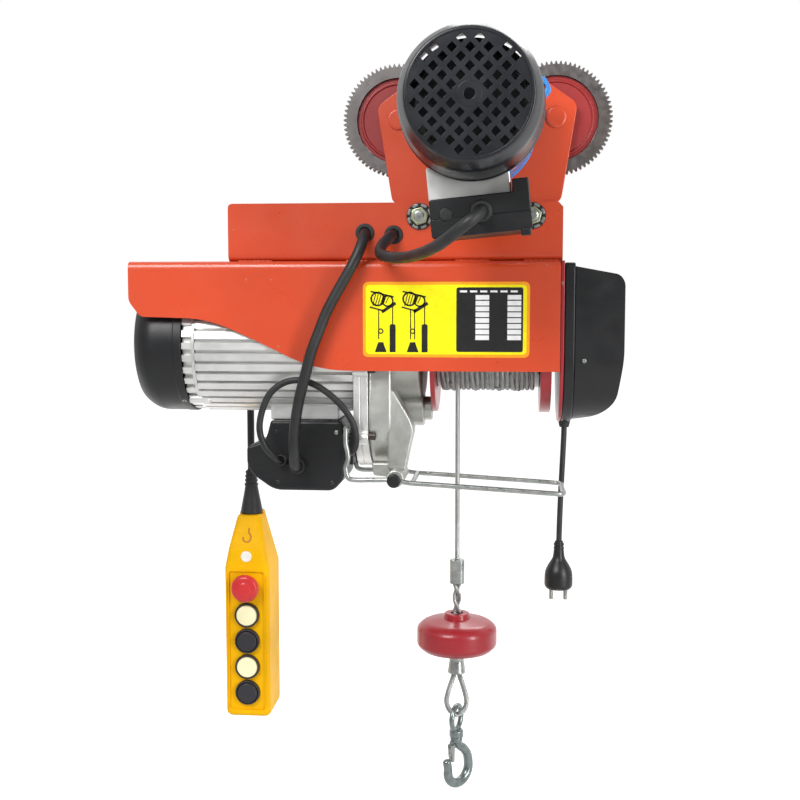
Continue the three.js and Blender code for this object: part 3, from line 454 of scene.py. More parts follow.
def plate(outlines, axis, start, end, edge=0.5):
    """A flat form between two stations, from an outline and any holes in it, with eased edges."""
    curve = bpy.data.curves.new("outline", "CURVE")
    curve.dimensions = "2D"
    curve.fill_mode = "BOTH"
    for outline in outlines:
        spline = curve.splines.new("POLY")
        spline.points.add(len(outline) - 1)
        for point, (u, v) in zip(spline.points, outline):
            point.co = (u, v, 0, 1)
        spline.use_cyclic_u = True
    curve.extrude = abs(end - start) / 2 - edge
    curve.bevel_depth = edge
    curve.bevel_resolution = 2
    curve.offset = -edge
    holder = bpy.data.objects.new("outline", curve)
    bpy.context.scene.collection.objects.link(holder)
    graph = bpy.context.evaluated_depsgraph_get()
    mesh = bpy.data.meshes.new_from_object(holder.evaluated_get(graph))
    bm = bmesh.new()
    bm.from_mesh(mesh)
    middle = (start + end) / 2
    for vert in bm.verts:
        vert.co = along(axis, vert.co.x, vert.co.y, middle + vert.co.z)
    bpy.data.objects.remove(holder)
    bpy.data.curves.remove(curve)
    bpy.data.meshes.remove(mesh)
    return tidy(bm)


def slab(x0, x1, y0, y1, z0, z1, edge=0.6, axis="y"):
    """A block with eased edges."""
    spans = {"x": (y0, y1, z0, z1, x0, x1), "y": (x0, x1, z0, z1, y0, y1), "z": (x0, x1, y0, y1, z0, z1)}
    u0, u1, v0, v1, w0, w1 = spans[axis]
    outline = rounded([(u0, v0), (u1, v0), (u1, v1), (u0, v1)], edge, steps=3)
    return plate([outline], axis, w0, w1, min(edge, (w1 - w0) * 0.3))


def smooth_line(points, step):
    """Points along a centripetal Catmull-Rom curve, about one step apart."""
    spots = [Vector(p) for p in points]
    spots = [spots[0] * 2 - spots[1], *spots, spots[-1] * 2 - spots[-2]]
    out = []
    for p0, p1, p2, p3 in zip(spots, spots[1:], spots[2:], spots[3:]):
        t1 = (p1 - p0).length ** 0.5
        t2 = t1 + (p2 - p1).length ** 0.5
        t3 = t2 + (p3 - p2).length ** 0.5
        pieces = max(1, round((p2 - p1).length / step))
        for k in range(pieces):
            t = t1 + (t2 - t1) * k / pieces
            a1 = p0 * ((t1 - t) / t1) + p1 * (t / t1)
            a2 = p1 * ((t2 - t) / (t2 - t1)) + p2 * ((t - t1) / (t2 - t1))
            a3 = p2 * ((t3 - t) / (t3 - t2)) + p3 * ((t - t2) / (t3 - t2))
            b1 = a1 * ((t2 - t) / t2) + a2 * (t / t2)
            b2 = a2 * ((t3 - t) / (t3 - t1)) + a3 * ((t - t1) / (t3 - t1))
            out.append(b1 * ((t2 - t) / (t2 - t1)) + b2 * ((t - t1) / (t2 - t1)))
    return [*out, spots[-2]]


def sweep(line, section, loop=False):
    """Carries a section along a line. section(i, share) gives the section's (u, v) points there."""
    bm = bmesh.new()
    rings = []
    count = len(line)
    normal = None
    for i, spot in enumerate(line):
        before = line[i - 1] if i or loop else spot
        after = line[(i + 1) % count] if i + 1 < count or loop else spot
        tangent = (after - before).normalized()
        if normal is None:
            normal = tangent.orthogonal().normalized()
        normal = (normal - tangent * normal.dot(tangent)).normalized()
        side = tangent.cross(normal)
        spots = [spot + normal * u + side * v for u, v in section(i, i / max(1, count - 1))]
        rings.append([bm.verts.new(p * MM) for p in spots])
    pairs = list(zip(rings, rings[1:]))
    if loop:
        pairs.append((rings[-1], rings[0]))
    for first, second in pairs:
        sides = len(first)
        for k in range(sides):
            bm.faces.new([first[k], first[(k + 1) % sides], second[(k + 1) % sides], second[k]])
    if not loop:
        bm.faces.new(rings[0])
        bm.faces.new(rings[-1])
    bmesh.ops.recalc_face_normals(bm, faces=bm.faces)
    return bm


def tube(points, radius, step):
    return sweep(smooth_line(points, step), lambda i, share: circle(radius, sides=16))


def stranded(line, radius, lay, step):
    """Wire rope: a section of round strands that turns as it goes along."""
    sides = STRANDS * 4

    def section(i, share):
        turn = TAU * i * step / lay
        out = []
        for k in range(sides):
            reach = radius * (0.8 + 0.2 * abs(math.cos(math.pi * k / 4)))
            out.append(polar(reach, turn + TAU * k / sides))
        return out

    return sweep(line, section)


def joined(*shapes):
    whole = bmesh.new()
    for shape in shapes:
        mesh = bpy.data.meshes.new("join")
        shape.to_mesh(mesh)
        whole.from_mesh(mesh)
        shape.free()
        bpy.data.meshes.remove(mesh)
    return whole


def moved(shape, matrix):
    bmesh.ops.transform(shape, matrix=matrix, verts=shape.verts)
    return shape


def turned_about(shape, angle, axis, point):
    centre = Matrix.Translation(Vector(point) * MM)
    return moved(shape, centre @ Matrix.Rotation(angle, 4, axis) @ centre.inverted())


def carved(shape, *tools, operation="DIFFERENCE"):
    """Cuts or crosses a shape with tools, one after another."""
    mesh = bpy.data.meshes.new("carved")
    shape.to_mesh(mesh)
    shape.free()
    body = bpy.data.objects.new("carved", mesh)
    bpy.context.scene.collection.objects.link(body)
    helpers = []
    for tool in tools:
        tool_mesh = bpy.data.meshes.new("tool")
        tool.to_mesh(tool_mesh)
        tool.free()
        helper = bpy.data.objects.new("tool", tool_mesh)
        bpy.context.scene.collection.objects.link(helper)
        helpers.append(helper)
        modifier = body.modifiers.new("carve", "BOOLEAN")
        modifier.operation = operation
        modifier.solver = "EXACT"
        modifier.object = helper
    graph = bpy.context.evaluated_depsgraph_get()
    result = bpy.data.meshes.new_from_object(body.evaluated_get(graph))
    bm = bmesh.new()
    bm.from_mesh(result)
    for thing in [body, *helpers]:
        data = thing.data
        bpy.data.objects.remove(thing)
        bpy.data.meshes.remove(data)
    bpy.data.meshes.remove(result)
    return bm


def piece(name, shape, surface, body, slot, *nodes, bevel=0.0):
    """Makes a finished piece that rides on a body, and stands for the CAD nodes named."""
    for edge in shape.edges:
        faces = edge.link_faces
        edge.smooth = len(faces) == 2 and edge.calc_face_angle(0) < SMOOTH_ANGLE
    for face in shape.faces:
        face.smooth = True
    mesh = bpy.data.meshes.new(name)
    shape.to_mesh(mesh)
    shape.free()
    mesh.materials.append(surface)
    thing = bpy.data.objects.new(name, mesh)
    bpy.context.scene.collection.objects.link(thing)
    if bevel:
        ease = thing.modifiers.new("ease", "BEVEL")
        ease.width = bevel * MM
        ease.segments = 2
        ease.limit_method = "ANGLE"
        ease.angle_limit = BEVEL_ANGLE
    weighted = thing.modifiers.new("weighted", "WEIGHTED_NORMAL")
    weighted.keep_sharp = True
    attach(thing, body)
    if nodes:
        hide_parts(*nodes)
    return thing


def keep(node, surface):
    """A CAD node that stays as it is, with a better material."""
    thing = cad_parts[node]
    thing.data.materials.clear()
    thing.data.materials.append(surface)


def screw(place, direction, radius, height, drive="cross"):
    """A small screw head that stands on a surface, with a cut for the driver."""
    head = lathe([(0, -0.4), (radius, -0.4), (radius, height * 0.6), (radius * 0.55, height), (0, height)],
                 "z", sides=28, edge=radius * 0.25)
    if drive == "cross":
        reach, width = radius * 0.6, radius * 0.2
        cuts = [
            slab(-reach, reach, -width, width, height * 0.35, height + 1, width * 0.4, "z"),
            slab(-width, width, -reach, reach, height * 0.35, height + 1, width * 0.4, "z"),
        ]
    else:
        cuts = [plate([circle(radius * 0.5, sides=6)], "z", height * 0.3, height + 1, 0.1)]
    head = carved(head, *cuts)
    turn = Vector((0, 0, 1)).rotation_difference(Vector(direction)).to_matrix().to_4x4()
    return moved(head, Matrix.Translation(Vector(place) * MM) @ turn)


# ---- Cords: the routes are in metres ----

PLUG_X, PLUG_Y = 88.5, 2

POWER_CORD = [
    (0.0925, 0.002, -0.2769), (0.0924, 0.002, -0.288), (0.0918, 0.002, -0.305), (0.0908, 0.002, -0.33),
    (0.0898, 0.002, -0.355), (0.0889, 0.002, -0.385), (0.0885, 0.002, -0.405),
]

TROLLEY_CABLE = [
    (-0.186, -0.0384, -0.322), (-0.186, -0.05, -0.3215), (-0.1855, -0.061, -0.315), (-0.1848, -0.067, -0.3),
    (-0.1825, -0.073, -0.278), (-0.1765, -0.08, -0.249), (-0.1695, -0.086, -0.226),
    (-0.1625, -0.088, -0.201), (-0.1545, -0.088, -0.18), (-0.1467, -0.088, -0.161),
    (-0.1332, -0.088, -0.1362), (-0.121, -0.088, -0.115), (-0.1135, -0.084, -0.098),
    (-0.111, -0.076, -0.087), (-0.111, -0.0645, -0.082), (-0.114, -0.05, -0.082), (-0.121, -0.036, -0.084),
    (-0.119, -0.018, -0.087), (-0.105, -0.008, -0.09), (-0.088, -0.009, -0.09), (-0.076, -0.02, -0.088),
    (-0.075, -0.036, -0.085), (-0.08, -0.051, -0.084), (-0.082, -0.0645, -0.084), (-0.085, -0.076, -0.087),
    (-0.091, -0.087, -0.095), (-0.092, -0.098, -0.103), (-0.083, -0.111, -0.1075), (-0.066, -0.132, -0.109),
    (-0.05, -0.164, -0.1075), (-0.036, -0.193, -0.104), (-0.023, -0.215, -0.098), (-0.01, -0.227, -0.089),
    (0.001, -0.23, -0.081), (0.0075, -0.224, -0.075), (0.009, -0.214, -0.0725), (0.009, -0.2054, -0.072),
]

SWITCH_CABLE = [
    (-0.203, -0.0384, -0.316), (-0.203, -0.048, -0.316), (-0.206, -0.06, -0.311), (-0.214, -0.069, -0.299),
    (-0.219, -0.072, -0.283), (-0.217, -0.072, -0.264), (-0.208, -0.072, -0.244), (-0.194, -0.072, -0.233),
    (-0.178, -0.072, -0.23), (-0.163, -0.072, -0.234), (-0.146, -0.072, -0.245), (-0.131, -0.072, -0.26),
    (-0.1225, -0.072, -0.275), (-0.12, -0.072, -0.29), (-0.122, -0.071, -0.3), (-0.128, -0.069, -0.305),
    (-0.1305, -0.064, -0.306), (-0.1305, -0.0585, -0.306),
]

PENDANT_CORD = [
    (-0.2705, 0.112, -0.1485), (-0.2705, 0.112, -0.23), (-0.2705, 0.112, -0.29), (-0.2705, 0.112, -0.3497),
]


def add_cord(name, route, radius, body):
    line = smooth_line([Vector(point) / MM for point in route], 1.5)
    shape = sweep(line, lambda i, share: circle(radius, sides=20))
    cord = piece(f"{name}_sheath", shape, RUBBER, body, "cord_black", name)


def power_plug():
    profile = [
        (0, -405.3), (4.3, -405.3), (4.8, -410), (6.4, -424, 3), (10.5, -430, 4), (14.2, -437, 4),
        (15, -444, 3), (15, -454, 2), (12.5, -457), (0, -457),
    ]
    body = lathe(profile, "z", PLUG_X, PLUG_Y, 56, 0.8)
    rings = [
        cylinder(5.6 - 0.05 * i, z + 1.2, z - 1.2, "z", PLUG_X, PLUG_Y, 40, 0.6, inner=3.4)
        for i, z in enumerate([-409, -413, -417])
    ]
    grip = [
        slab(x - 1.2, x + 1.2, PLUG_Y - 7, PLUG_Y + 7, z - 0.7, z + 0.7, 0.4, "x")
        for x in (PLUG_X - 12.6, PLUG_X + 12.6) for z in (-441, -444.5, -448)
    ]
    return joined(body, *rings, *grip)


def plug_pins():
    x = PLUG_X
    pins = [cylinder(2.3, -469, -456, "z", x + side * 7.5, PLUG_Y, 24, 0.8) for side in (-1, 1)]
    edges = (PLUG_Y - 13.2, PLUG_Y + 13.2)
    clips = [slab(x - 2.4, x + 2.4, y - 0.5, y + 0.5, -457, -444, 0.3) for y in edges]
    return joined(*pins, *clips)


def add_cords():
    plug = piece("power_plug_body", power_plug(), BLACK, "root", "cord_black", "power_plug")
    pins = piece("power_plug_pins", plug_pins(), ZINC, "root", "zinc_plate")
    add_cord("power_cord", POWER_CORD, 3, "root")
    add_cord("trolley_cable", TROLLEY_CABLE, 5.5, "root")
    add_cord("switch_cable", SWITCH_CABLE, 3.4, "root")
    add_cord("pendant_cord", PENDANT_CORD, 4.2, "pendant")


# ---- Trolley ----


def gear_outline(teeth, module, phase, u=0.0, v=0.0):
    """Tapered teeth with narrow lands, a little thinner than half the pitch."""
    pitch_r = module * teeth / 2
    return ribbed(pitch_r + 0.8 * module, pitch_r - 1.25 * module, teeth, 0.36, 0.09, v, u, phase)


def mesh_phase(phase_a, teeth_a, teeth_b, direction):
    turns = (direction - phase_a) / (TAU / teeth_a)
    return direction + math.pi + (turns - math.floor(turns) + 0.5) * TAU / teeth_b


def side_plate(y0, y1, has_shaft):
    outline = rounded([
        (-50, 77.5, 8), (50, 77.5, 8), (99, 43, 8), (84, -50, 4), (66, -62, 4),
        (64, -98, 4), (-64, -98, 4), (-66, -62, 4), (-84, -50, 4), (-99, 43, 8),
    ], steps=8)
    holes = [circle(6.4, side * WHEEL_X, WHEEL_Z) for side in (-1, 1)]
    holes += [circle(5.4, side * BOLT_X, BOLT_Z) for side in (-1, 1)]
    if has_shaft:
        holes.append(circle(8.4, 0, PINION_Z))
    return plate([outline, *holes], "y", y0, y1, 0.7)


def geared_rim(x, phase):
    teeth = gear_outline(WHEEL_TEETH, TROLLEY_MODULE, phase, x, WHEEL_Z)
    return plate([teeth, circle(42, x, WHEEL_Z, 96)], "y", -54, -45, 0.25)


def geared_wheel(x):
    profile = [
        (8.3, -53.6), (16, -53.6, 1), (17.6, -50.6, 1), (35.4, -50.6), (36, -52), (37.6, -52),
        (38.4, -50.6), (41.8, -50.6), (41.8, -45.3), (30, -45.3), (30, -19, 1.5), (8.3, -19),
    ]
    return lathe(profile, "y", x, WHEEL_Z, 96, 0.4)


def plain_wheel(x):
    profile = [
        (8.3, 19), (30, 19, 1.5), (30, 45, 1), (38, 45, 1.5), (38, 51, 1.5), (15, 51, 1),
        (14, 54, 1), (8.3, 54),
    ]
    return lathe(profile, "y", x, WHEEL_Z, 96, 0.5)


def wheel_axle(x, side):
    profile = [
        (0, 16), (11, 16), (11, 18.7), (8, 18.7), (8, 54.3), (10, 54.3), (10, 58.4), (6, 58.4), (6, 62.9),
        (10.4, 62.9), (10.4, 64, 0.6), (8.6, 65), (0, 65),
    ]
    return lathe([(p[0], side * p[1], *p[2:]) for p in profile], "y", x, WHEEL_Z, 64, 0.5)


def add_wheels():
    right = mesh_phase(0, PINION_TEETH, WHEEL_TEETH, MESH_ANGLE)
    left = mesh_phase(0, PINION_TEETH, WHEEL_TEETH, math.pi - MESH_ANGLE)
    for word, x, phase in (("left", -WHEEL_X, left), ("right", WHEEL_X, right)):
        drive, plain = f"{word}_drive_wheel", f"{word}_plain_wheel"
        piece(f"geared_rim_{word}", geared_rim(x, phase), STEEL, drive, "steel")
        for kind, shape, surface, body in (
            ("geared_wheel", geared_wheel(x), DISH_RED, drive),
            ("plain_wheel", plain_wheel(x), DARK_RED, plain),
        ):
            piece(f"{kind}_{word}_body", shape, surface, body, "dark_red_paint", f"{kind}_{word}")
        for kind, side in (("near_axle", -1), ("far_axle", 1)):
            piece(f"{kind}_{word}_body", wheel_axle(x, side), RED, "root", "red_paint", f"{kind}_{word}")


def cross_bolt(x):
    shaft = lathe([(0, -75), (4.9, -75, 1.2), (4.9, 66.3), (0, 66.3)], "y", x, BOLT_Z, 40, 0.4)
    threads = [
        lathe([(4.2, y), (5.3, y + 0.5), (4.2, y + 1)], "y", x, BOLT_Z, 36, 0)
        for y in (-74.4, -73.3, -65.5, -64.4)
    ]
    head = plate([circle(9.4, x, BOLT_Z, 6)], "y", 66.4, 72.5, 0.8)
    face = lathe([(0, 72), (7.6, 72), (7, 72.8), (0, 72.8)], "y", x, BOLT_Z, 40, 0.2)
    return joined(shaft, *threads, head, face)


def cross_nut(x):
    nut = plate([circle(9.2, x, BOLT_Z, 6, 0.3), circle(5.1, x, BOLT_Z)], "y", -73, -67.6, 0.7)
    return joined(nut, cylinder(7.6, -73.4, -72.5, "y", x, BOLT_Z, 40, 0.3, inner=5.2))


def tooth_washer(x):
    """The bright teeth that stand round the nut on its dark washer."""
    count, half = 8, 0.27
    corners = ((10, -half), (12.4, -half * 0.9), (12.6, 0), (12.4, half * 0.9), (10, half), (9.8, 0))
    teeth = []
    for i in range(count):
        middle = TAU * (i + 0.5) / count
        outline = [polar(radius, middle + turn, x, BOLT_Z) for radius, turn in corners]
        teeth.append(plate([outline], "y", -68.3, -67, 0.25))
    return joined(*teeth)


def add_cross_bolts():
    for word, x in (("left", -BOLT_X), ("right", BOLT_X)):
        piece(f"cross_bolt_{word}_shaft", cross_bolt(x), ZINC, "root", "zinc_plate", f"cross_bolt_{word}")
        piece(f"cross_nut_{word}", cross_nut(x), NUT_ZINC, "root", "zinc_plate")
        washer = plate([circle(13.2, x, BOLT_Z), circle(5.3, x, BOLT_Z)], "y", -67.4, -66.2, 0.3)
        piece(f"cross_washer_{word}", washer, DARK_STEEL, "root", "steel")
        piece(f"washer_teeth_{word}", tooth_washer(x), ZINC, "root", "zinc_plate")


def drive_pinion():
    teeth = gear_outline(PINION_TEETH, TROLLEY_MODULE, 0, 0, PINION_Z)
    toothed = plate([teeth], "y", -54, -45, 0.25)
    hub = lathe([(0, -45.2), (12, -45.2), (12, -42, 1), (0, -42)], "y", 0, PINION_Z, 48)
    shaft = cylinder(7, -84.5, -54, "y", 0, PINION_Z)
    reduction = plate([gear_outline(36, 1.15, 0, 0, PINION_Z)], "y", -94, -84, 0.2)
    return joined(toothed, hub, shaft, reduction)


LUG_ANGLES, LUG_R = [math.radians(degrees) for degrees in (27, 147, 267)], 69


def about_pinion(u, v, angle):
    """A point of the plane, turned about the drive pinion's axis."""
    across, up = math.cos(angle), math.sin(angle)
    return (u * across - v * up, PINION_Z + u * up + v * across)


def trolley_gearbox():
    profile = [
        (8, -110), (54, -110), (58, -107.5, 2), (58, -64.6), (59.5, -64.6), (59.5, -63), (52, -63),
        (52, -105), (8, -105),
    ]
    shell = lathe(profile, "y", 0, PINION_Z, 96, 0.6)
    lug = [(52, -13, 2), (64, -13, 5), (77.5, -7.5, 4), (77.5, 7.5, 4), (66, 12.5, 5), (52, 15, 2)]
    lugs = []
    for angle in LUG_ANGLES:
        turned = [(*about_pinion(u, v, angle), corner) for u, v, corner in lug]
        hole = circle(4.6, *polar(LUG_R, angle, 0, PINION_Z), 32)
        lugs.append(plate([rounded(turned), hole], "y", -110, -97, 1.0))
    ribs = []
    for i in range(12):
        angle = TAU * i / 12 + 0.1
        rib = slab(57, 59.3, -108, -66, -1.2, 1.2, 0.6)
        moved(rib, Matrix.Rotation(-angle, 4, "Y"))
        ribs.append(moved(rib, Matrix.Translation((0, 0, PINION_Z * MM))))
    return joined(shell, *lugs, *ribs)


def trolley_motor():
    fins = ribbed(58, 56, 36, 0.3, 0.22, PINION_Z)
    body = plate([fins, circle(40, 0, PINION_Z)], "y", -192, -110.3, 0.4)
    foot = slab(-46, 28, -185, -130, -57.6, -28, 1.5)
    turned_about(foot, -TROLLEY_TILT, "Y", (0, 0, PINION_Z))
    profile = [(14, -198), (50, -198), (60, -194, 2), (60, -192.2), (14, -192.2)]
    return joined(body, foot, lathe(profile, "y", 0, PINION_Z, 72, 0.5))


FAN_HOLE_PITCH, FAN_HOLE_HALF, FAN_HOLE_TURN = 10.6, 3.1, math.radians(44)
GRILLE_INNER_R, GRILLE_OUTER_R = 11, 48.5


def grille_holes():
    """Square holes on a lattice that stands nearly on its corner, all round the hub."""
    reach = math.ceil(GRILLE_OUTER_R / FAN_HOLE_PITCH)
    rows = [(k + 0.5) * FAN_HOLE_PITCH for k in range(-reach, reach + 1)]
    half = FAN_HOLE_HALF
    holes = []
    for u in rows:
        for v in rows:
            if GRILLE_INNER_R < math.hypot(u, v) < GRILLE_OUTER_R:
                square = ((-half, -half), (half, -half), (half, half), (-half, half))
                holes.append([about_pinion(u + du, v + dv, FAN_HOLE_TURN) for du, dv in square])
    return holes


def trolley_fan_cover():
    profile = [
        (61.9, -192.4), (64.4, -192.4), (64.4, -198), (63.4, -200), (61.5, -246, 5), (55.8, -259.5, 3),
        (54, -262.9, 1.2), (51.5, -262.9), (51.5, -260.2), (53, -257), (59, -245, 4), (61.6, -200),
    ]
    skirt = lathe(profile, "y", 0, PINION_Z, 128, 0.5)
    grille = [circle(52.5, 0, PINION_Z, 96), *grille_holes(), circle(4.6, 0, PINION_Z, 32)]
    face = plate(grille, "y", -262.2, -259.8, 0.3)
    boss = lathe([(4.8, -262.6), (10.5, -262.6), (11, -260), (4.8, -260)], "y", 0, PINION_Z, 48, 0.4)
    return joined(skirt, face, boss)


def trolley_terminal_box():
    low = [(43.5, -92, 3), (-45, -92, 3)]
    outline = rounded([(-45, -58, 3), (29, -58, 1), (29, -47, 2), (43.5, -47, 2), *low])
    lid = rounded([(-45, -75.5, 1), (43.5, -75.5, 1), *low])
    body = carved(
        plate([outline], "y", -205, -140, 1.2),
        slab(-47, 45, -206, -139, -75.9, -75.2, 0.1),
    )
    core = slab(-44, 42.5, -204, -141, -77, -74, 0.3)
    rim = plate([lid], "y", -205.3, -203, 0.6)
    tab = slab(33, 42, -206.4, -200, -97, -90, 1.2)
    whole = joined(body, core, rim, tab)
    return turned_about(whole, -TROLLEY_TILT, "Y", (0, 0, PINION_Z))


def box_collars():
    collar = lathe([(5.7, -211), (9, -211, 1), (10.5, -205), (5.7, -205)], "y", 9, -72, 48, 0.6)
    plug = lathe([(0, -206.6), (5.4, -206.6, 1.5), (6.2, -204.8), (0, -204.8)], "y", -22, -74.6, 40, 0.4)
    return joined(collar, plug)


def add_trolley():
    for word, y0, y1 in (("near", -62.7, -58.7), ("far", 58.7, 62.7)):
        shape = side_plate(y0, y1, has_shaft=word == "near")
        piece(f"side_plate_{word}", shape, RED, "root", "red_paint", f"trolley_plate_{word}")
    add_wheels()
    add_cross_bolts()
    piece("drive_pinion_gear", drive_pinion(), STEEL, "drive_shaft", "steel", "drive_pinion")
    keep("trolley_countershaft", STEEL)
    keep("trolley_rotor", FAN_BLACK)
    for name, shape, surface, slot, node in (
        ("trolley_gearbox_case", trolley_gearbox(), BLUE, "blue_paint", "trolley_gearbox"),
        ("trolley_motor_case", trolley_motor(), ALUMINIUM, "cast_aluminium", "trolley_motor_body"),
        ("trolley_fan_grille", trolley_fan_cover(), FAN_BLACK, "black_plastic", "trolley_fan_cover"),
        ("trolley_terminal_case", trolley_terminal_box(), BLACK, "black_plastic", "trolley_terminal_box"),
    ):
        piece(name, shape, surface, "root", slot, node)
    piece("trolley_box_collars", box_collars(), RUBBER, "root", "cord_black")
    lugs = [polar(LUG_R, angle, 0, PINION_Z) for angle in LUG_ANGLES]
    bolts = joined(*[screw((u, -98, v), (0, -1, 0), 4.3, 3, "hex") for u, v in lugs])
    piece("gearbox_lug_bolts", bolts, DARK_STEEL, "root", "steel")


# ---- Channel, frame and end plate ----

GROMMETS = ((-111, -82), (-82, -84))


def sheet_section(half, top, bottom, sheet, bend):
    """A U or its mirror: two walls and the web between them, with bent corners."""
    inner = half - sheet
    lift = sheet if top > bottom else -sheet
    tight = bend - sheet if bend > sheet else 0.5
    return rounded([
        (-half, top), (-half, bottom, bend), (half, bottom, bend), (half, top),
        (inner, top), (inner, bottom + lift, tight), (-inner, bottom + lift, tight), (-inner, top),
    ], steps=8)


def hanger_channel():
    section = sheet_section(66, -52, -109.7, 3, 7)
    form = plate([section], "x", -251, 86, 0.2)
    side = rounded([(-251, -115), (86.5, -115), (86.5, -58, 1), (81, -52, 2), (-251, -52, 5)], steps=5)
    crossed = carved(form, plate([side], "y", -70, 70, 0.05), operation="INTERSECT")
    holes = [cylinder(7.5, -70, -60, "y", x, z, 40, 0) for x, z in GROMMETS]
    holes += [cylinder(5.4, -70, 70, "y", side * BOLT_X, BOLT_Z, 32, 0) for side in (-1, 1)]
    return carved(crossed, *holes)


def grommets():
    profile = [
        (5.6, -67.6), (9.4, -67.6, 0.8), (9.4, -66), (7.4, -66), (7.4, -63), (9, -63), (9, -61.6),
        (5.6, -61.6),
    ]
    return joined(*[lathe(profile, "y", x, z, 44, 0.4) for x, z in GROMMETS])


def frame_shell():
    section = sheet_section(76, -230, -110, 3, 8)
    form = plate([section], "x", -353, 84, 0.2)
    side = rounded([
        (-353, -108), (84.2, -108), (84.2, -220), (-160, -220, 34), (-227, -187, 34), (-272, -168, 30),
        (-341, -166, 5), (-353, -150, 5),
    ], steps=10)
    return carved(form, plate([side], "y", -80, 80, 0.05), operation="INTERSECT")


def cord_tab():
    outline = rounded([(-285.5, 74.5), (-255.5, 74.5), (-255.5, 126, 8), (-285.5, 126, 8)])
    return plate([outline, circle(5, PENDANT_X, PENDANT_Y)], "z", -147, -143, 0.6)


def weld_bead(start, length, radius, name):
    """A wavy bead of weld along x. The name is the seed of its roughness."""
    rng = random.Random(name)
    x, y, z = start
    line = smooth_line([start, (x + length, y, z)], 0.7)
    sizes = [radius * (0.9 + 0.14 * math.sin(i * 0.9) + 0.06 * rng.random()) for i in range(len(line))]
    return sweep(line, lambda i, share: circle(sizes[i], sides=10))


def u_outline(half, top, centre, corner):
    """An outline with a square top and a half round bottom."""
    upper = rounded([(-half, centre), (-half, top, corner), (half, top, corner), (half, centre)], steps=6)
    return [*upper, *[polar(half, -math.pi * i / 40, 0, centre) for i in range(1, 40)]]


def add_label():
    """A plate with a border, two pictograms and an empty table, with no words on it."""
    y = -76.0
    x0, x1, z0, z1 = -112, 54, -206, -131
    layers = [
        ("label_border", LABEL_ORANGE, x0, x1, 0, 6, 0.35),
        ("label_field", LABEL_YELLOW, x0 + 3, x1 - 3, 3, 4.5, 0.45),
        ("label_table", LABEL_BLACK, -18.5, 47.5, 5.5, 2.5, 0.55),
    ]
    for name, surface, left, right, margin, corner, rise in layers:
        low, high = z0 + margin, z1 - margin
        outline = rounded([(left, low), (right, low), (right, high), (left, high)], corner)
        piece(name, plate([outline], "y", y - rise, y - 0.02, 0.05), surface, "root", "red_paint")
    spans = [
        (left, left + 13.5, -188.6 + 5.7 * row, -184 + 5.7 * row)
        for row in range(8) for left in (0.5, 32)
    ]
    spans += [(-15 + 10 * i, -8 + 10 * i, -141.5, -139.6) for i in range(6)]
    cells = [slab(left, right, y - 0.62, y - 0.5, low, high, 0.04) for left, right, low, high in spans]
    piece("label_cells", joined(*cells), LABEL_WHITE, "root", "cream_plastic")
    piece("label_pictograms", pictograms(y - 0.45), LABEL_BLACK, "root", "black_plastic")


def pictograms(y):
    """Two small line drawings of a hoist, one with a single rope and one with a pulley."""
    marks = []

    def block(*outlines):
        marks.append(plate(outlines, "y", y - 0.12, y, 0.03))

    def bar(xa, za, xb, zb, width):
        line = Vector((xb - xa, zb - za))
        du, dv = Vector((-line.y, line.x)).normalized() * width / 2
        block([(xa + du, za + dv), (xb + du, zb + dv), (xb - du, zb - dv), (xa - du, za - dv)])

    def ring(u, v, outer, inner):
        block(circle(outer, u, v, 24), circle(inner, u, v, 24))

    for x, pulleys in ((-92, 1), (-60, 2)):
        ring(x - 5, -148, 7.4, 5.6)
        ring(x + 5, -150, 6.0, 4.4)
        bar(x - 12, -140.5, x + 11, -146, 1.6)
        for i in range(6):
            bar(x - 10 + 2.6 * i, -155 + 0.5 * i, x - 7 + 2.6 * i, -143 - 0.6 * i, 0.9)
        bar(x - 1, -161, x + 13, -152, 3.2)
        bar(x - 13, -156, x + 2, -160, 1.6)
        for k in range(pulleys):
            bar(x - 4 + 4 * k, -158, x - 4 + 4 * k, -188, 1.1)
        ring(x - 2, -180, 2.8, 1.5)
        block([(x - 8, -201), (x + 4, -201), (x + 0.5, -191), (x - 4.5, -191)])
        bar(x + 10, -155, x + 10, -174, 1.1)
        block(rounded([(x + 7, -201), (x + 13, -201), (x + 13, -173, 2), (x + 7, -173, 2)]))
    return joined(*marks)


def add_frame():
    piece("hanger_channel_sheet", hanger_channel(), RED, "root", "red_paint", "hanger_channel", bevel=0.5)
    piece("channel_grommets", grommets(), RUBBER, "root", "cord_black")
    piece("frame_sheet", frame_shell(), RED, "root", "red_paint", "frame_shell", bevel=0.5)
    beads = [weld_bead((-284, 76.4, z), 27, 1.4, word) for z, word in ((-147.6, "under"), (-142.4, "over"))]
    piece("pendant_tab", joined(cord_tab(), *beads), RED, "root", "red_paint")
    seams = [
        weld_bead((x, side * 65.4, -110.2), 34, 1.5, f"{x}{side}")
        for x in (-240, -130, -20, 48) for side in (-1, 1)
    ]
    piece("channel_welds", joined(*seams), RED, "root", "red_paint")
    end = plate([u_outline(76, -110, -200.5, 4), circle(10.4, 0, AXIS_Z)], "x", 84.3, 88, 0.8)
    piece("end_plate_sheet", end, DARK_RED, "root", "dark_red_paint", "end_plate")
    add_label()


# ---- Hoist motor ----


SHIELD_ANGLES = [math.radians(degrees) for degrees in (55, 125, 235, 305)]


def motor_housing():
    fins = ribbed(71.5, 65.5, 40, 0.39, 0.39 * 0.86, AXIS_Z)
    body = plate([fins, circle(58, 0, AXIS_Z, 96)], "x", -287, -124.3, 0.45)
    foot = slab(-216, -144, -31, 31, -274.7, -258, 1.5, "z")
    return joined(body, foot)


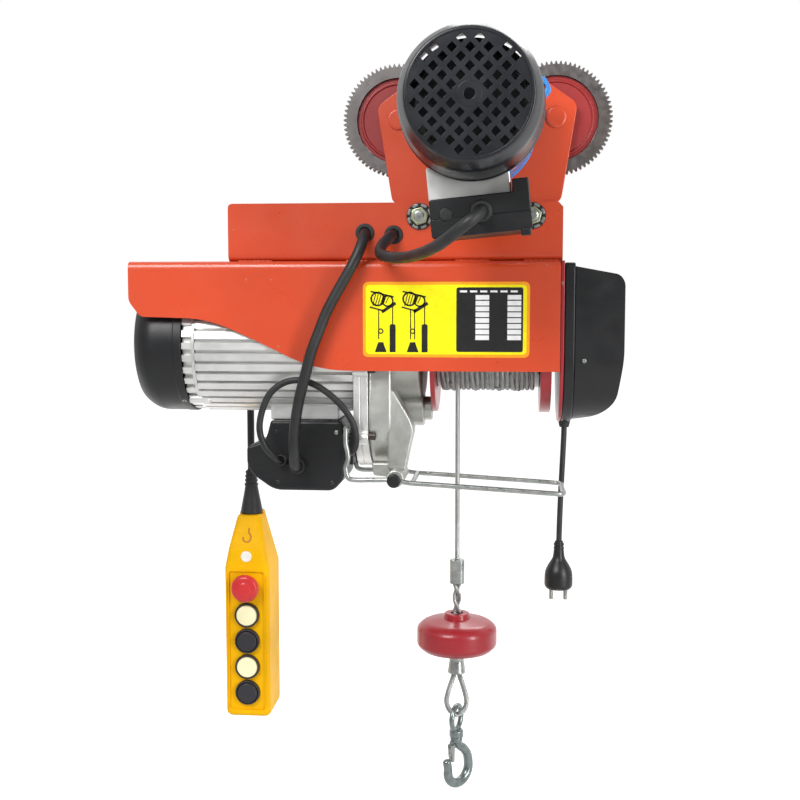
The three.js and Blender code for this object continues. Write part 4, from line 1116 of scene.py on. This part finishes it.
def motor_end_shield():
    ribs = ribbed(70, 65, 34, 0.3, 0.3 * 0.86, AXIS_Z)
    crown = plate([ribs, circle(12, 0, AXIS_Z)], "x", -300.7, -290.5, 0.5)
    rim = lathe([(12, -290.6), (70, -290.6), (70.4, -287.4), (12, -287.4)], "x", 0, AXIS_Z, 96, 0.5)
    lug = [(0, -300), (5.2, -300), (5.2, -280), (3.4, -277), (0, -277)]
    lugs = [lathe(lug, "x", *polar(68.5, angle, 0, AXIS_Z), 32, 0.8) for angle in SHIELD_ANGLES]
    return joined(crown, rim, *lugs)


def motor_fan_cover():
    profile = [
        (69.6, -301), (72, -301), (72, -309, 0.4), (71.4, -309.6), (71.4, -336, 6), (67, -346, 6),
        (60, -353.8, 3), (55, -353.8), (55, -351.4), (60, -351.4), (69.6, -338),
    ]
    slots = []
    for inner, outer, count in ((17, 33, 16), (37, 52, 28)):
        half = 0.3 * TAU / count
        for i in range(count):
            middle = TAU * i / count
            corners = ((inner, -half), (outer, -half), (outer, half), (inner, half))
            slots.append([polar(radius, middle + turn, 0, AXIS_Z) for radius, turn in corners])
    face = plate([circle(56, 0, AXIS_Z, 96), *slots], "x", -353.6, -351.2, 0.3)
    return joined(lathe(profile, "x", 0, AXIS_Z, 128, 0.5), face)


def cover_screws():
    heads = []
    for angle in SHIELD_ANGLES:
        place = (-306, *polar(71.2, angle, 0, AXIS_Z))
        heads.append(screw(place, (0, *polar(1, angle)), 2.6, 1.4))
    return joined(*heads)


def add_hoist_motor():
    piece("motor_fins", motor_housing(), ALUMINIUM, "root", "cast_aluminium", "motor_housing")
    piece("motor_end_ring", motor_end_shield(), ALUMINIUM, "root", "cast_aluminium", "motor_end_shield")
    piece("motor_fan_hood", motor_fan_cover(), BLACK, "root", "black_plastic", "motor_fan_cover")
    piece("fan_hood_screws", cover_screws(), ZINC, "root", "zinc_plate")
    keep("stator_core", COPPER)
    keep("motor_rotor", STEEL)
    keep("cooling_fan", BUTTON_BLACK)


# ---- Gearbox ----


def egg(upper_r, upper_z, lower_r, lower_z, sides=96):
    spread = math.asin((upper_r - lower_r) / (upper_z - lower_z))
    half = sides // 2
    out = []
    for i in range(half + 1):
        a = -spread + (math.pi + 2 * spread) * i / half
        out.append((upper_r * math.cos(a), upper_z + upper_r * math.sin(a)))
    for i in range(half + 1):
        a = math.pi + spread + (math.pi - 2 * spread) * i / half
        out.append((lower_r * math.cos(a), lower_z + lower_r * math.sin(a)))
    return out


def gearbox_flange():
    first = plate([egg(66, AXIS_Z, 61.5, IDLER_Z), circle(9.5, 0, AXIS_Z)], "x", -124, -117.2, 0.8)
    second = plate([egg(66, AXIS_Z, 61.5, IDLER_Z), circle(9.5, 0, AXIS_Z)], "x", -116.6, -109, 0.8)
    gasket = plate([egg(65.2, AXIS_Z, 60.7, IDLER_Z), circle(10, 0, AXIS_Z)], "x", -117.4, -116.4, 0.1)
    ears = [slab(-124 + 0.2, -109.2, y - 7, y + 7, -215, -150, 1.5, "x") for y in (-65.6, 65.6)]
    lugs = [lathe([(0, -124.4), (7, -124.4), (7, -108.8), (0, -108.8)], "x", u, v, 40, 0.8)
            for u, v in ((-61, -221), (61, -221), (-57.5, -290), (57.5, -290))]
    return joined(first, second, gasket, *ears, *lugs)


def gearbox_case():
    pan = plate([egg(59, AXIS_Z, 60.6, IDLER_Z)], "x", -108.7, -85, 3.2)
    profile = [(10.4, -88), (59, -88), (58.4, -58, 3), (54, -55, 3), (10.4, -55)]
    upper = lathe(profile, "x", 0, AXIS_Z, 96, 0.8)
    boss = lathe([(0, -88), (12.8, -88), (12.6, -47, 1), (0, -47)], "x", 0, IDLER_Z, 64, 0.8)
    step = lathe([(0, -88), (19, -88), (18.6, -55.4, 1.2), (0, -55.4)], "x", 0, IDLER_Z, 64, 0.8)
    arm_outline = [
        (-90, -240, 2), (-84, -240, 6), (-66, -270, 8), (-62, -281, 4), (-71, -323, 2), (-89, -323, 2),
    ]
    arm = plate([rounded(arm_outline)], "y", -58, -34, 2.2)
    barrel = lathe([(4.3, -75), (9, -75, 1.5), (9, -17, 1.5), (4.3, -17)], "y", PIVOT_X, PIVOT_Z, 56, 0.6)
    foot_outline = [(-106, -316, 2), (-85, -316, 2), (-79, -326, 2), (-85, -331, 2), (-104, -329, 2)]
    foot = plate([rounded(foot_outline)], "y", -56, -36, 1.5)
    return joined(pan, upper, boss, step, arm, barrel, foot)


def gearbox_screws():
    spots = [(-60.2, -219), (60.2, -219), (-58, -288), (58, -288), (0, -323)]
    heads = []
    for u, v in spots:
        head = lathe([(0, -109.2), (4.2, -109.2), (4.2, -101.5), (0, -101.5)], "x", u, v, 32, 0.6)
        heads.append(carved(head, plate([circle(2.1, u, v, 6)], "x", -104, -100, 0.1)))
    return joined(*heads)


def add_gearbox():
    piece("gearbox_flanges", gearbox_flange(), ALUMINIUM, "root", "cast_aluminium", "gearbox_flange")
    piece("gearbox_housing", gearbox_case(), CAST, "root", "cast_aluminium", "gearbox_case")
    piece("gearbox_socket_screws", gearbox_screws(), DARK_STEEL, "root", "steel")
    keep("idler_gear", STEEL)
    keep("output_shaft", STEEL)


# ---- Drum and rope ----


def rope_drum():
    profile = [
        (10.6, -46.4), (30, -46.4), (34, -44.6), (69, -44.6, 1), (71, -46.3, 1), (71, -41, 1),
        (40, -41), (40, 65.6), (71, 65.6, 1.2), (71, 76.6, 1.2), (62, 76.6, 2), (58, 72, 2),
        (38, 72, 2), (36, 76.6, 1), (36, -38), (18, -38), (18, 76.6), (10.6, 76.6),
    ]
    return lathe(profile, "x", 0, AXIS_Z, 112, 0.4)


def rope_winding():
    """Two layers of rope on the barrel, with a few turns that cross the others."""
    step = 2.4
    radius, x0, x1 = 45.9, -38.2, 62.8
    turns = (x1 - x0) / 5.15
    count = int(turns * TAU * radius / step)
    coil = []
    for i in range(count):
        angle = TAU * turns * i / count
        x = x0 + (x1 - x0) * i / count
        coil.append(Vector((x, radius * math.cos(angle), AXIS_Z + radius * math.sin(angle))))
    shapes = [stranded(coil, 2.5, 16, step)]
    crossings = (
        (-36, -20, -2.9, 46.6), (-26, -4, -2.2, 46.9), (-6, 18, -2.7, 46.8), (12, 30, -3.0, 46.3),
        (22, 46, -2.0, 46.9), (36, 60, -2.5, 46.6), (44, 58, -1.7, 46.9),
    )
    for x_from, x_to, turn, reach in crossings:
        wrap = []
        steps = 120
        for i in range(steps):
            share = i / (steps - 1)
            angle = turn + 1.6 * math.pi * share
            wrap.append(Vector((x_from + (x_to - x_from) * share,
                                reach * math.cos(angle), AXIS_Z + reach * math.sin(angle))))
        shapes.append(stranded(wrap, 2.45, 16, step))
    core = lathe([(40.2, -40.6), (44.8, -40.6), (44.8, 65.2), (40.2, 65.2)], "x", 0, AXIS_Z, 96, 0.5)
    return joined(core, *shapes)


def straight_rope(x, y, top, bottom, radius, lay=15):
    step = 0.8
    count = int(abs(top - bottom) / step)
    line = [Vector((x, y, top + (bottom - top) * i / count)) for i in range(count + 1)]
    return stranded(line, radius, lay, step)


def rope_return():
    """The live rope and its returned end, laid round each other."""
    step, top, bottom, lay = 0.8, -440, -536.8, 34
    count = int((top - bottom) / step)
    strands = []
    for start in (0, math.pi):
        line = []
        for i in range(count + 1):
            angle = start + TAU * i * step / lay
            z = top + (bottom - top) * i / count
            line.append(Vector((ROPE_X + 2.3 * math.cos(angle), ROPE_Y + 2.3 * math.sin(angle), z)))
        strands.append(stranded(line, 2.35, 15, step))
    return joined(*strands)


def ferrules():
    corners = [(-7.6, -2.4), (-5, -6), (5, -6), (7.6, -2.4), (7.6, 2.4), (5, 6), (-5, 6), (-7.6, 2.4)]
    outline = rounded([(ROPE_X + u, ROPE_Y + v) for u, v in corners], 2.6)
    upper = plate([outline], "z", FERRULE_BOTTOM, FERRULE_TOP, 1.0)
    profile = [(0, -536.9), (9.4, -536.9, 0.8), (8.9, -533, 1), (7.6, -524), (7.8, -512.4), (0, -512.4)]
    lower = lathe(profile, "z", ROPE_X, ROPE_Y, 56, 0.6)
    return joined(upper, lower)


def limit_weight():
    profile = [
        (6.4, -512), (35.5, -512, 2), (41.5, -506, 2.5), (41.5, -488, 3.5), (34.5, -482, 5),
        (15, -478.3, 1), (13.4, -478.6, 0.5), (12.8, -473.2, 1), (6.4, -473.2),
    ]
    return lathe(profile, "z", ROPE_X, ROPE_Y, 112, 0.6)


def rope_eye():
    top = -537.3
    route = [
        (-3.1, 0), (-3.1, -3), (-5, -9), (-9, -22), (-10.5, -32), (-7, -41), (0, -45), (7, -41),
        (10.5, -32), (9, -22), (5, -9), (3.1, -3), (3.1, 0),
    ]
    line = smooth_line([(ROPE_X + u, ROPE_Y, top + v) for u, v in route], 0.8)
    return stranded(line, 2.8, 15, 0.8)


def on_rope(shape, turn):
    """Carries a shape from the origin to the rope's line, turned about it."""
    place = Matrix.Translation(Vector((ROPE_X, ROPE_Y, 0)) * MM)
    return moved(shape, place @ Matrix.Rotation(turn, 4, "Z"))


def hook_eye():
    centre, radius, wire = -586, 12.5, 2.8
    loop = [Vector((u, 0, z)) for u, z in circle(radius, 0, centre, 72)]
    ring = sweep(loop, lambda i, share: circle(wire, sides=20), loop=True)
    profile = [(4.2, -606), (7.5, -606, 1), (7.5, -599.5, 1), (5.2, -597.6, 1), (4.2, -597.6)]
    return on_rope(joined(ring, lathe(profile, "z", 0, 0, 48, 0.6)), EYE_TURN)


def load_hook():
    top = -606.3
    bowl_u, bowl_z, bowl_r, wire = 3, -641, 16, 5.5
    route = [(0, 0, top - 3.5), (2.5, 0, top - 9), (11, 0, -622), (17, 0, -630)]
    steps = 9
    for i in range(steps + 1):
        angle = math.radians(10 - 200 * i / steps)
        route.append((bowl_u + bowl_r * math.cos(angle), 0, bowl_z + bowl_r * math.sin(angle)))
    route.append((-15, 0, -627))
    line = smooth_line(route, 1.2)

    def section(i, share):
        """Thickest under the load and drawn down to a rounded tip."""
        swell = wire * (0.82 + 0.18 * math.sin(math.pi * min(1.0, share / 0.92)))
        tip = min(1.0, math.sqrt(max(0.0, (1 - share) / 0.05)) + 0.25)
        reach = swell * tip
        return [(u, v * 0.92) for u, v in circle(reach, sides=28)]

    body = sweep(line, section)
    profile = [(0, top - 6), (6, top - 6, 1.5), (6.5, top - 3, 1), (6.5, top, 0.8), (0, top)]
    shoulder = lathe(profile, "z", 0, 0, 48, 0.6)
    shank = lathe([(0, top - 1), (3.9, top - 1), (3.9, -603), (0, -603)], "z", 0, 0, 32, 0.3)
    lug = slab(-9.6, 2, -1.2, 1.2, -618, top - 3, 0.6)
    return on_rope(joined(body, shoulder, shank, lug), HOOK_TURN)


def hook_latch():
    pivot_u, pivot_z, tip_u, tip_z = -7.6, -615, -7.4, -631.5
    outline = rounded([
        (pivot_u - 3, pivot_z + 2, 1.5), (pivot_u + 2.6, pivot_z + 2, 1.5),
        (tip_u + 1.8, tip_z, 0.8), (tip_u - 0.8, tip_z, 0.8),
    ])
    cheeks = [plate([outline], "y", side * 2.4 - 0.6, side * 2.4 + 0.6, 0.25) for side in (-1, 1)]
    back = plate([rounded([
        (pivot_u - 2.8, pivot_z - 7, 0.3), (pivot_u - 1.6, pivot_z - 7, 0.3),
        (tip_u + 0.4, tip_z, 0.3), (tip_u - 0.8, tip_z, 0.3),
    ])], "y", -2.6, 2.6, 0.25)
    pin = lathe([(0, -3.6), (1.5, -3.6), (1.5, 3.6), (0, 3.6)], "y", pivot_u, pivot_z, 24, 0.4)
    return on_rope(joined(*cheeks, back, pin), HOOK_TURN)


def add_drum_and_rope():
    piece("rope_drum_body", rope_drum(), DARK_RED, "drum", "dark_red_paint", "rope_drum")
    piece("wound_rope", rope_winding(), ROPE, "drum", "zinc_plate", "rope_winding")
    rope = straight_rope(ROPE_X, ROPE_Y, ROPE_TOP, FERRULE_TOP + 0.3, 2.5)
    hanging = piece("hanging_rope", rope, ROPE, "root", "zinc_plate", "wire_rope")
    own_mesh(hanging)
    piece("returned_rope", rope_return(), ROPE, "hook_block", "zinc_plate", "rope_return")
    piece("ferrules", ferrules(), ZINC, "hook_block", "zinc_plate")
    piece("limit_weight_body", limit_weight(), DARK_RED, "hook_block", "dark_red_paint", "limit_weight")
    piece("rope_eye_loop", rope_eye(), ROPE, "hook_block", "zinc_plate", "rope_eye")
    piece("hook_eye_ring", hook_eye(), HOOK_ZINC, "hook_block", "zinc_plate", "hook_eye")
    piece("hook_body", load_hook(), HOOK_ZINC, "hook", "zinc_plate", "load_hook")
    piece("latch_body", hook_latch(), ZINC, "latch", "zinc_plate", "hook_latch")


# ---- Limit bail and switch ----

PLUNGER_X, PLUNGER_Y = -130.5, -46


def limit_bail():
    near, far, left, right, top, wire = -82, -10, -128, 89, -278, 2.5

    def arm(y):
        return [
            (left - 1, y, top), (left - 1, y, -292), (left + 1.5, y, -307), (left - 1, y, -318),
            (left + 1.5, y, -328), (left + 5, y, PIVOT_Z), (-100, y, PIVOT_Z), (PIVOT_X, y, PIVOT_Z),
            (-66, y, -332), (-40, y, -333.5), (20, y, -337), (right - 10, y, -340.5),
        ]

    route = [
        *arm(near), (right - 3, near + 1, -341), (right, near + 6, -341.2),
        (right, (near + far) / 2, -341.2),
        (right, far - 6, -341.2), (right - 3, far - 1, -341), *reversed(arm(far)),
    ]
    loop = tube(route, wire, 2.0)
    top_bar = tube([(left - 1, near - 1, top), (left - 1, -46, top), (left - 1, far + 1, top)], wire, 4)
    closing = tube([(-62, near, -332.3), (-62, -46, -332.3), (-62, far, -332.3)], wire, 4)
    pin = cylinder(4, near - 6, far + 6, "y", PIVOT_X, PIVOT_Z, 36)
    return joined(loop, top_bar, closing, pin)


def bail_caps():
    return joined(*[
        lathe([(0, a), (7, a, 2), (7, b, 0.6), (0, b)], "y", PIVOT_X, PIVOT_Z, 48, 0.6)
        for a, b in ((-90, -85.2), (-2, -6.8))
    ])


def limit_switch():
    case = slab(-136.6, -124.7, -58, -34, -318, -287, 1.0)
    lid = slab(-136.2, -125.1, -58.6, -57.4, -317.4, -288, 0.4)
    guide = cylinder(4.8, -287.4, -286.2, "z", PLUNGER_X, PLUNGER_Y, 32, 0.3, inner=3.2)
    return joined(case, lid, guide)


def add_limit_parts():
    piece("bail_wire", limit_bail(), ZINC, "bail", "zinc_plate", "limit_bail")
    piece("bail_end_caps", bail_caps(), BLACK, "bail", "black_plastic")
    piece("limit_switch_case", limit_switch(), BLACK, "root", "black_plastic", "limit_switch")
    heads = joined(*[screw((-130.6, -58.6, z), (0, -1, 0), 1.8, 0.9) for z in (-293, -313)])
    piece("limit_switch_screws", heads, ZINC, "root", "zinc_plate")
    profile = [(0, -291), (3, -291), (3, -283), (2.4, -280.9, 0.8), (0, -280.9)]
    rod = lathe(profile, "z", PLUNGER_X, PLUNGER_Y, 32, 0.4)
    piece("plunger_rod", rod, ZINC, "plunger", "zinc_plate", "limit_plunger")


# ---- Electrical housings ----


def terminal_box():
    outline = rounded([
        (-215, -275, 3), (-141, -275, 3), (-137, -281, 3), (-137, -336, 6), (-149, -349, 6),
        (-212, -349, 9), (-235, -333, 8), (-241, -322, 5), (-241, -303, 4), (-222, -297, 4), (-219, -290, 3),
    ], steps=8)
    body = plate([outline], "y", -38, 38, 3.0)
    groove = [slab(-250, -130, side * 24 - 0.4, side * 24 + 0.4, -352, -270, 0.1, "z") for side in (-1, 1)]
    body = carved(body, *groove)
    core = plate([[(u * 0.985 - 2.7, v * 0.985 - 4.7) for u, v in outline]], "y", -30, 30, 0.5)
    return joined(body, core)


def box_glands():
    glands = []
    for x, z, bore in ((-186, -322, 5.7), (-203, -316, 3.6)):
        profile = [(bore, -46), (bore + 2.4, -46, 1), (bore + 4, -38.5, 1), (bore + 4, -37), (bore, -37)]
        glands.append(lathe(profile, "y", x, z, 44, 0.6))
    return joined(*glands)


def control_cover():
    outer = plate([u_outline(74, -112, -200.5, 5)], "x", 98.8, 147, 0.3)
    side = rounded([
        (98.7, -115.9), (142, -124, 6), (147.05, -132, 6), (147.05, -206, 12), (141, -252, 14),
        (125, -267, 10), (98.7, -272.5),
    ], steps=8)
    crossed = carved(outer, plate([side], "y", -80, 80, 0.05), operation="INTERSECT")
    recesses = ((-153, -149), (-189.5, -186), (-211, -207))
    grooves = [slab(103, 150, -80, 80, low, high, 0.4, "x") for low, high in recesses]
    core = plate([u_outline(72.2, -128, -200.5, 4)], "x", 100, 144, 1.0)
    inner_side = rounded([
        (99, -128), (141, -131, 5), (145.9, -140, 5), (145.9, -206, 10), (140, -250, 12), (124, -265, 8), (99, -270),
    ])
    core = carved(core, plate([inner_side], "y", -79, 79, 0.05), operation="INTERSECT")
    return joined(carved(crossed, *grooves), core)


def add_electrics():
    piece("terminal_case", terminal_box(), BLACK, "root", "black_plastic", "terminal_box")
    piece("terminal_glands", box_glands(), RUBBER, "root", "cord_black")
    bright = screw((-145, -38, -287), (0, -1, 0), 2.4, 1.0)
    piece("terminal_case_screw", bright, ZINC, "root", "zinc_plate")
    dull = [screw((x, -38, z), (0, -1, 0), 2.4, 1.0) for x, z in ((-209, -287), (-150, -340), (-208, -340))]
    piece("terminal_case_screws", joined(*dull), DARK_STEEL, "root", "steel")
    base = plate([u_outline(76, -112, -200.5, 5)], "x", 88.3, 98.5, 1.6)
    piece("control_base", base, BLACK, "root", "black_plastic", "control_box_base")
    piece("control_cover", control_cover(), BLACK, "root", "black_plastic", "control_box_cover", bevel=0.7)
    heads = joined(*[screw((108, side * 74, -209), (0, side, 0), 2.2, 0.7) for side in (-1, 1)])
    piece("control_cover_screws", heads, ZINC, "root", "zinc_plate")
    gland = lathe([(3.2, -283), (5, -283, 1), (6.4, -276.6), (3.2, -276.6)], "z", 92.5, 2, 40, 0.5)
    piece("power_gland", gland, RUBBER, "root", "cord_black")


# ---- Pendant ----

PANEL_Y = 82.5
PENDANT_TOP, PENDANT_BOTTOM = -402, -641


def pendant_half_widths(z):
    """Half the width seen from the front at a height."""
    if z >= -462:
        return 14 + 12.5 * (PENDANT_TOP - z) / 60
    return 26.5


def pendant_front_y(z):
    """The front face's station at a height."""
    if z >= -440:
        return PENDANT_Y - 17 - 15 * (PENDANT_TOP - z) / 38
    return PENDANT_Y - 32


def pendant_back_y(z):
    if z >= -462:
        return PENDANT_Y + 15 + 17 * (PENDANT_TOP - z) / 60
    return PENDANT_Y + 32


def pendant_form(is_front):
    """One moulded half, lofted from level sections with rounded outer corners."""
    bm = bmesh.new()
    rings = []
    top = -402 if is_front else -398.6
    lower = [-410, -420, -430, -440, -446, -462, -468, -500, -560, -620, -632, -637, -640, -641]
    for z in [top, top - 0.8, top - 2.4, *lower]:
        level = max(PENDANT_BOTTOM, min(PENDANT_TOP, z))
        half = pendant_half_widths(level)
        outer = pendant_front_y(level) if is_front else pendant_back_y(level)
        inset = 0.0
        for near, amount in ((top - z, 2.4), (z - PENDANT_BOTTOM, 6.0)):
            if near < amount:
                inset = max(inset, amount - math.sqrt(max(0.0, amount ** 2 - (amount - near) ** 2)))
        half -= inset
        outer += inset if is_front else -inset
        joint = PENDANT_Y - 0.2 if is_front else PENDANT_Y + 0.2
        corner = 7 if is_front else 6
        x = PENDANT_X
        ring = [(x - half, joint), (x - half, outer, corner), (x + half, outer, corner), (x + half, joint)]
        spots = rounded(ring, closed=False, steps=8)
        rings.append([bm.verts.new(Vector((u, v, z)) * MM) for u, v in spots])
    for first, second in zip(rings, rings[1:]):
        count = len(first)
        for k in range(count):
            bm.faces.new([first[k], first[(k + 1) % count], second[(k + 1) % count], second[k]])
    bm.faces.new(rings[0])
    bm.faces.new(rings[-1])
    return tidy(bm)


def pendant_front():
    x = PENDANT_X
    recess = plate([rounded([(x - 21, -632, 3), (x + 21, -632, 3), (x + 21, -466, 3), (x - 21, -466, 3)])],
                   "y", 70, PANEL_Y, 0.3)
    tools = [recess]
    for z in BUTTON_Z.values():
        tools.append(cylinder(12.8, 70, 95, "y", x, z, 48, 0))
    tools.append(cylinder(8.3, 70, 97, "y", x, ESTOP_Z, 40, 0))
    front = carved(pendant_form(True), *tools)
    ridges = [slab(u - 0.7, u + 0.7, 79.3, 81, -628, -470, 0.5) for u in (x - 23.6, x + 23.6)]
    return joined(front, *ridges)


def pendant_emblem():
    """A raised outline of a hook above the badge."""
    x = PENDANT_X
    route = [
        (x + 2, -416), (x + 2, -421), (x + 4.6, -425), (x + 3.4, -430), (x - 1, -431.4), (x - 4.4, -428.5),
        (x - 4.2, -426),
    ]
    line = smooth_line([(u, pendant_front_y(v) + 0.1, v) for u, v in route], 0.6)
    return sweep(line, lambda i, share: circle(1.0, sides=12))


def pendant_boot():
    base = [
        (0, -350), (5.6, -350, 1), (6.4, -354, 1), (6.9, -366, 2), (8.6, -376, 3), (12.4, -396, 2),
        (13.4, -401.6, 1), (0, -401.6),
    ]
    body = lathe(base, "z", PENDANT_X, PENDANT_Y, 56, 0.6)
    rings = [
        cylinder(r, z + 1.3, z - 1.3, "z", PENDANT_X, PENDANT_Y, 48, 0.8, inner=5)
        for z, r in ((-352.5, 6.9), (-357.5, 7.3), (-362.5, 7.7), (-367.5, 8.2))
    ]
    return joined(body, *rings)


def push_cap(z):
    profile = [
        (0, 76), (11.2, 76, 1.2), (12, 77.4, 0.6), (12.4, 80), (12.4, 85.4), (14, 85.4), (14, 88.5), (0, 88.5),
    ]
    return lathe(profile, "y", PENDANT_X, z, 64, 0.4)


def push_collar(z):
    """The black ring that a button slides in."""
    profile = [(12.75, 77.6), (14.3, 77.6, 0.6), (14.8, 82.4), (12.75, 82.4)]
    return lathe(profile, "y", PENDANT_X, z, 64, 0.4)


def estop():
    profile = [
        (0, 64.6), (6.5, 64.4, 2), (8, 65.2, 1), (14.4, 66.6, 3), (16.3, 70, 2), (16.3, 73.2, 1),
        (14, 75, 1), (8, 75.5), (8, 90), (10, 90), (10, 93), (0, 93),
    ]
    head = lathe(profile, "y", PENDANT_X, ESTOP_Z, 72, 0.4)
    arrows = []
    for i in range(3):
        start = TAU * i / 3
        barb = [(11.2, 1.2), (12.2, 1.2), (10.2, 1.6), (8.2, 1.2), (9.2, 1.2)]
        outline = [(9.2, start), (11.2, start), *[(radius, start + turn) for radius, turn in barb]]
        flat = [polar(radius, angle, PENDANT_X, ESTOP_Z) for radius, angle in outline]
        arrows.append(plate([flat], "y", 65.2, 67, 0.15))
    return joined(head, *arrows)


def add_pendant():
    piece("pendant_front_half", pendant_front(), YELLOW, "pendant", "yellow_plastic", "pendant_front")
    piece("pendant_back_half", pendant_form(False), YELLOW, "pendant", "yellow_plastic", "pendant_back")
    piece("pendant_hook_emblem", pendant_emblem(), AMBER, "pendant", "yellow_plastic")
    badge = lathe([(0, 79.3), (6, 79.3, 0.5), (6.6, 80.2), (0, 80.2)], "y", PENDANT_X, -448, 48, 0.3)
    piece("pendant_badge", badge, BADGE_WHITE, "pendant", "cream_plastic")
    piece("pendant_boot_sleeve", pendant_boot(), RUBBER, "pendant", "cord_black", "pendant_boot")
    piece("estop_head", estop(), ESTOP_RED, "estop", "red_plastic", "estop_button")
    for i, (name, z) in enumerate(BUTTON_Z.items()):
        surface, slot = (BUTTON_BLACK, "black_plastic") if i % 2 else (CREAM, "cream_plastic")
        piece(f"{name}_cap", push_cap(z), surface, name.replace("button_", "") + "_button", slot, name)
    collars = [push_collar(z) for z in BUTTON_Z.values()]
    piece("button_collars", joined(*collars), BUTTON_BLACK, "pendant", "black_plastic")
    places = [(PENDANT_X + side * 18, 143.5, z) for side in (-1, 1) for z in (-470, -628)]
    screws = [screw(place, (0, 1, 0), 2.6, 0.4) for place in places]
    piece("pendant_screws", joined(*screws), ZINC, "pendant", "zinc_plate")


add_cords()
add_trolley()
add_frame()
add_hoist_motor()
add_gearbox()
add_drum_and_rope()
add_limit_parts()
add_electrics()
add_pendant()
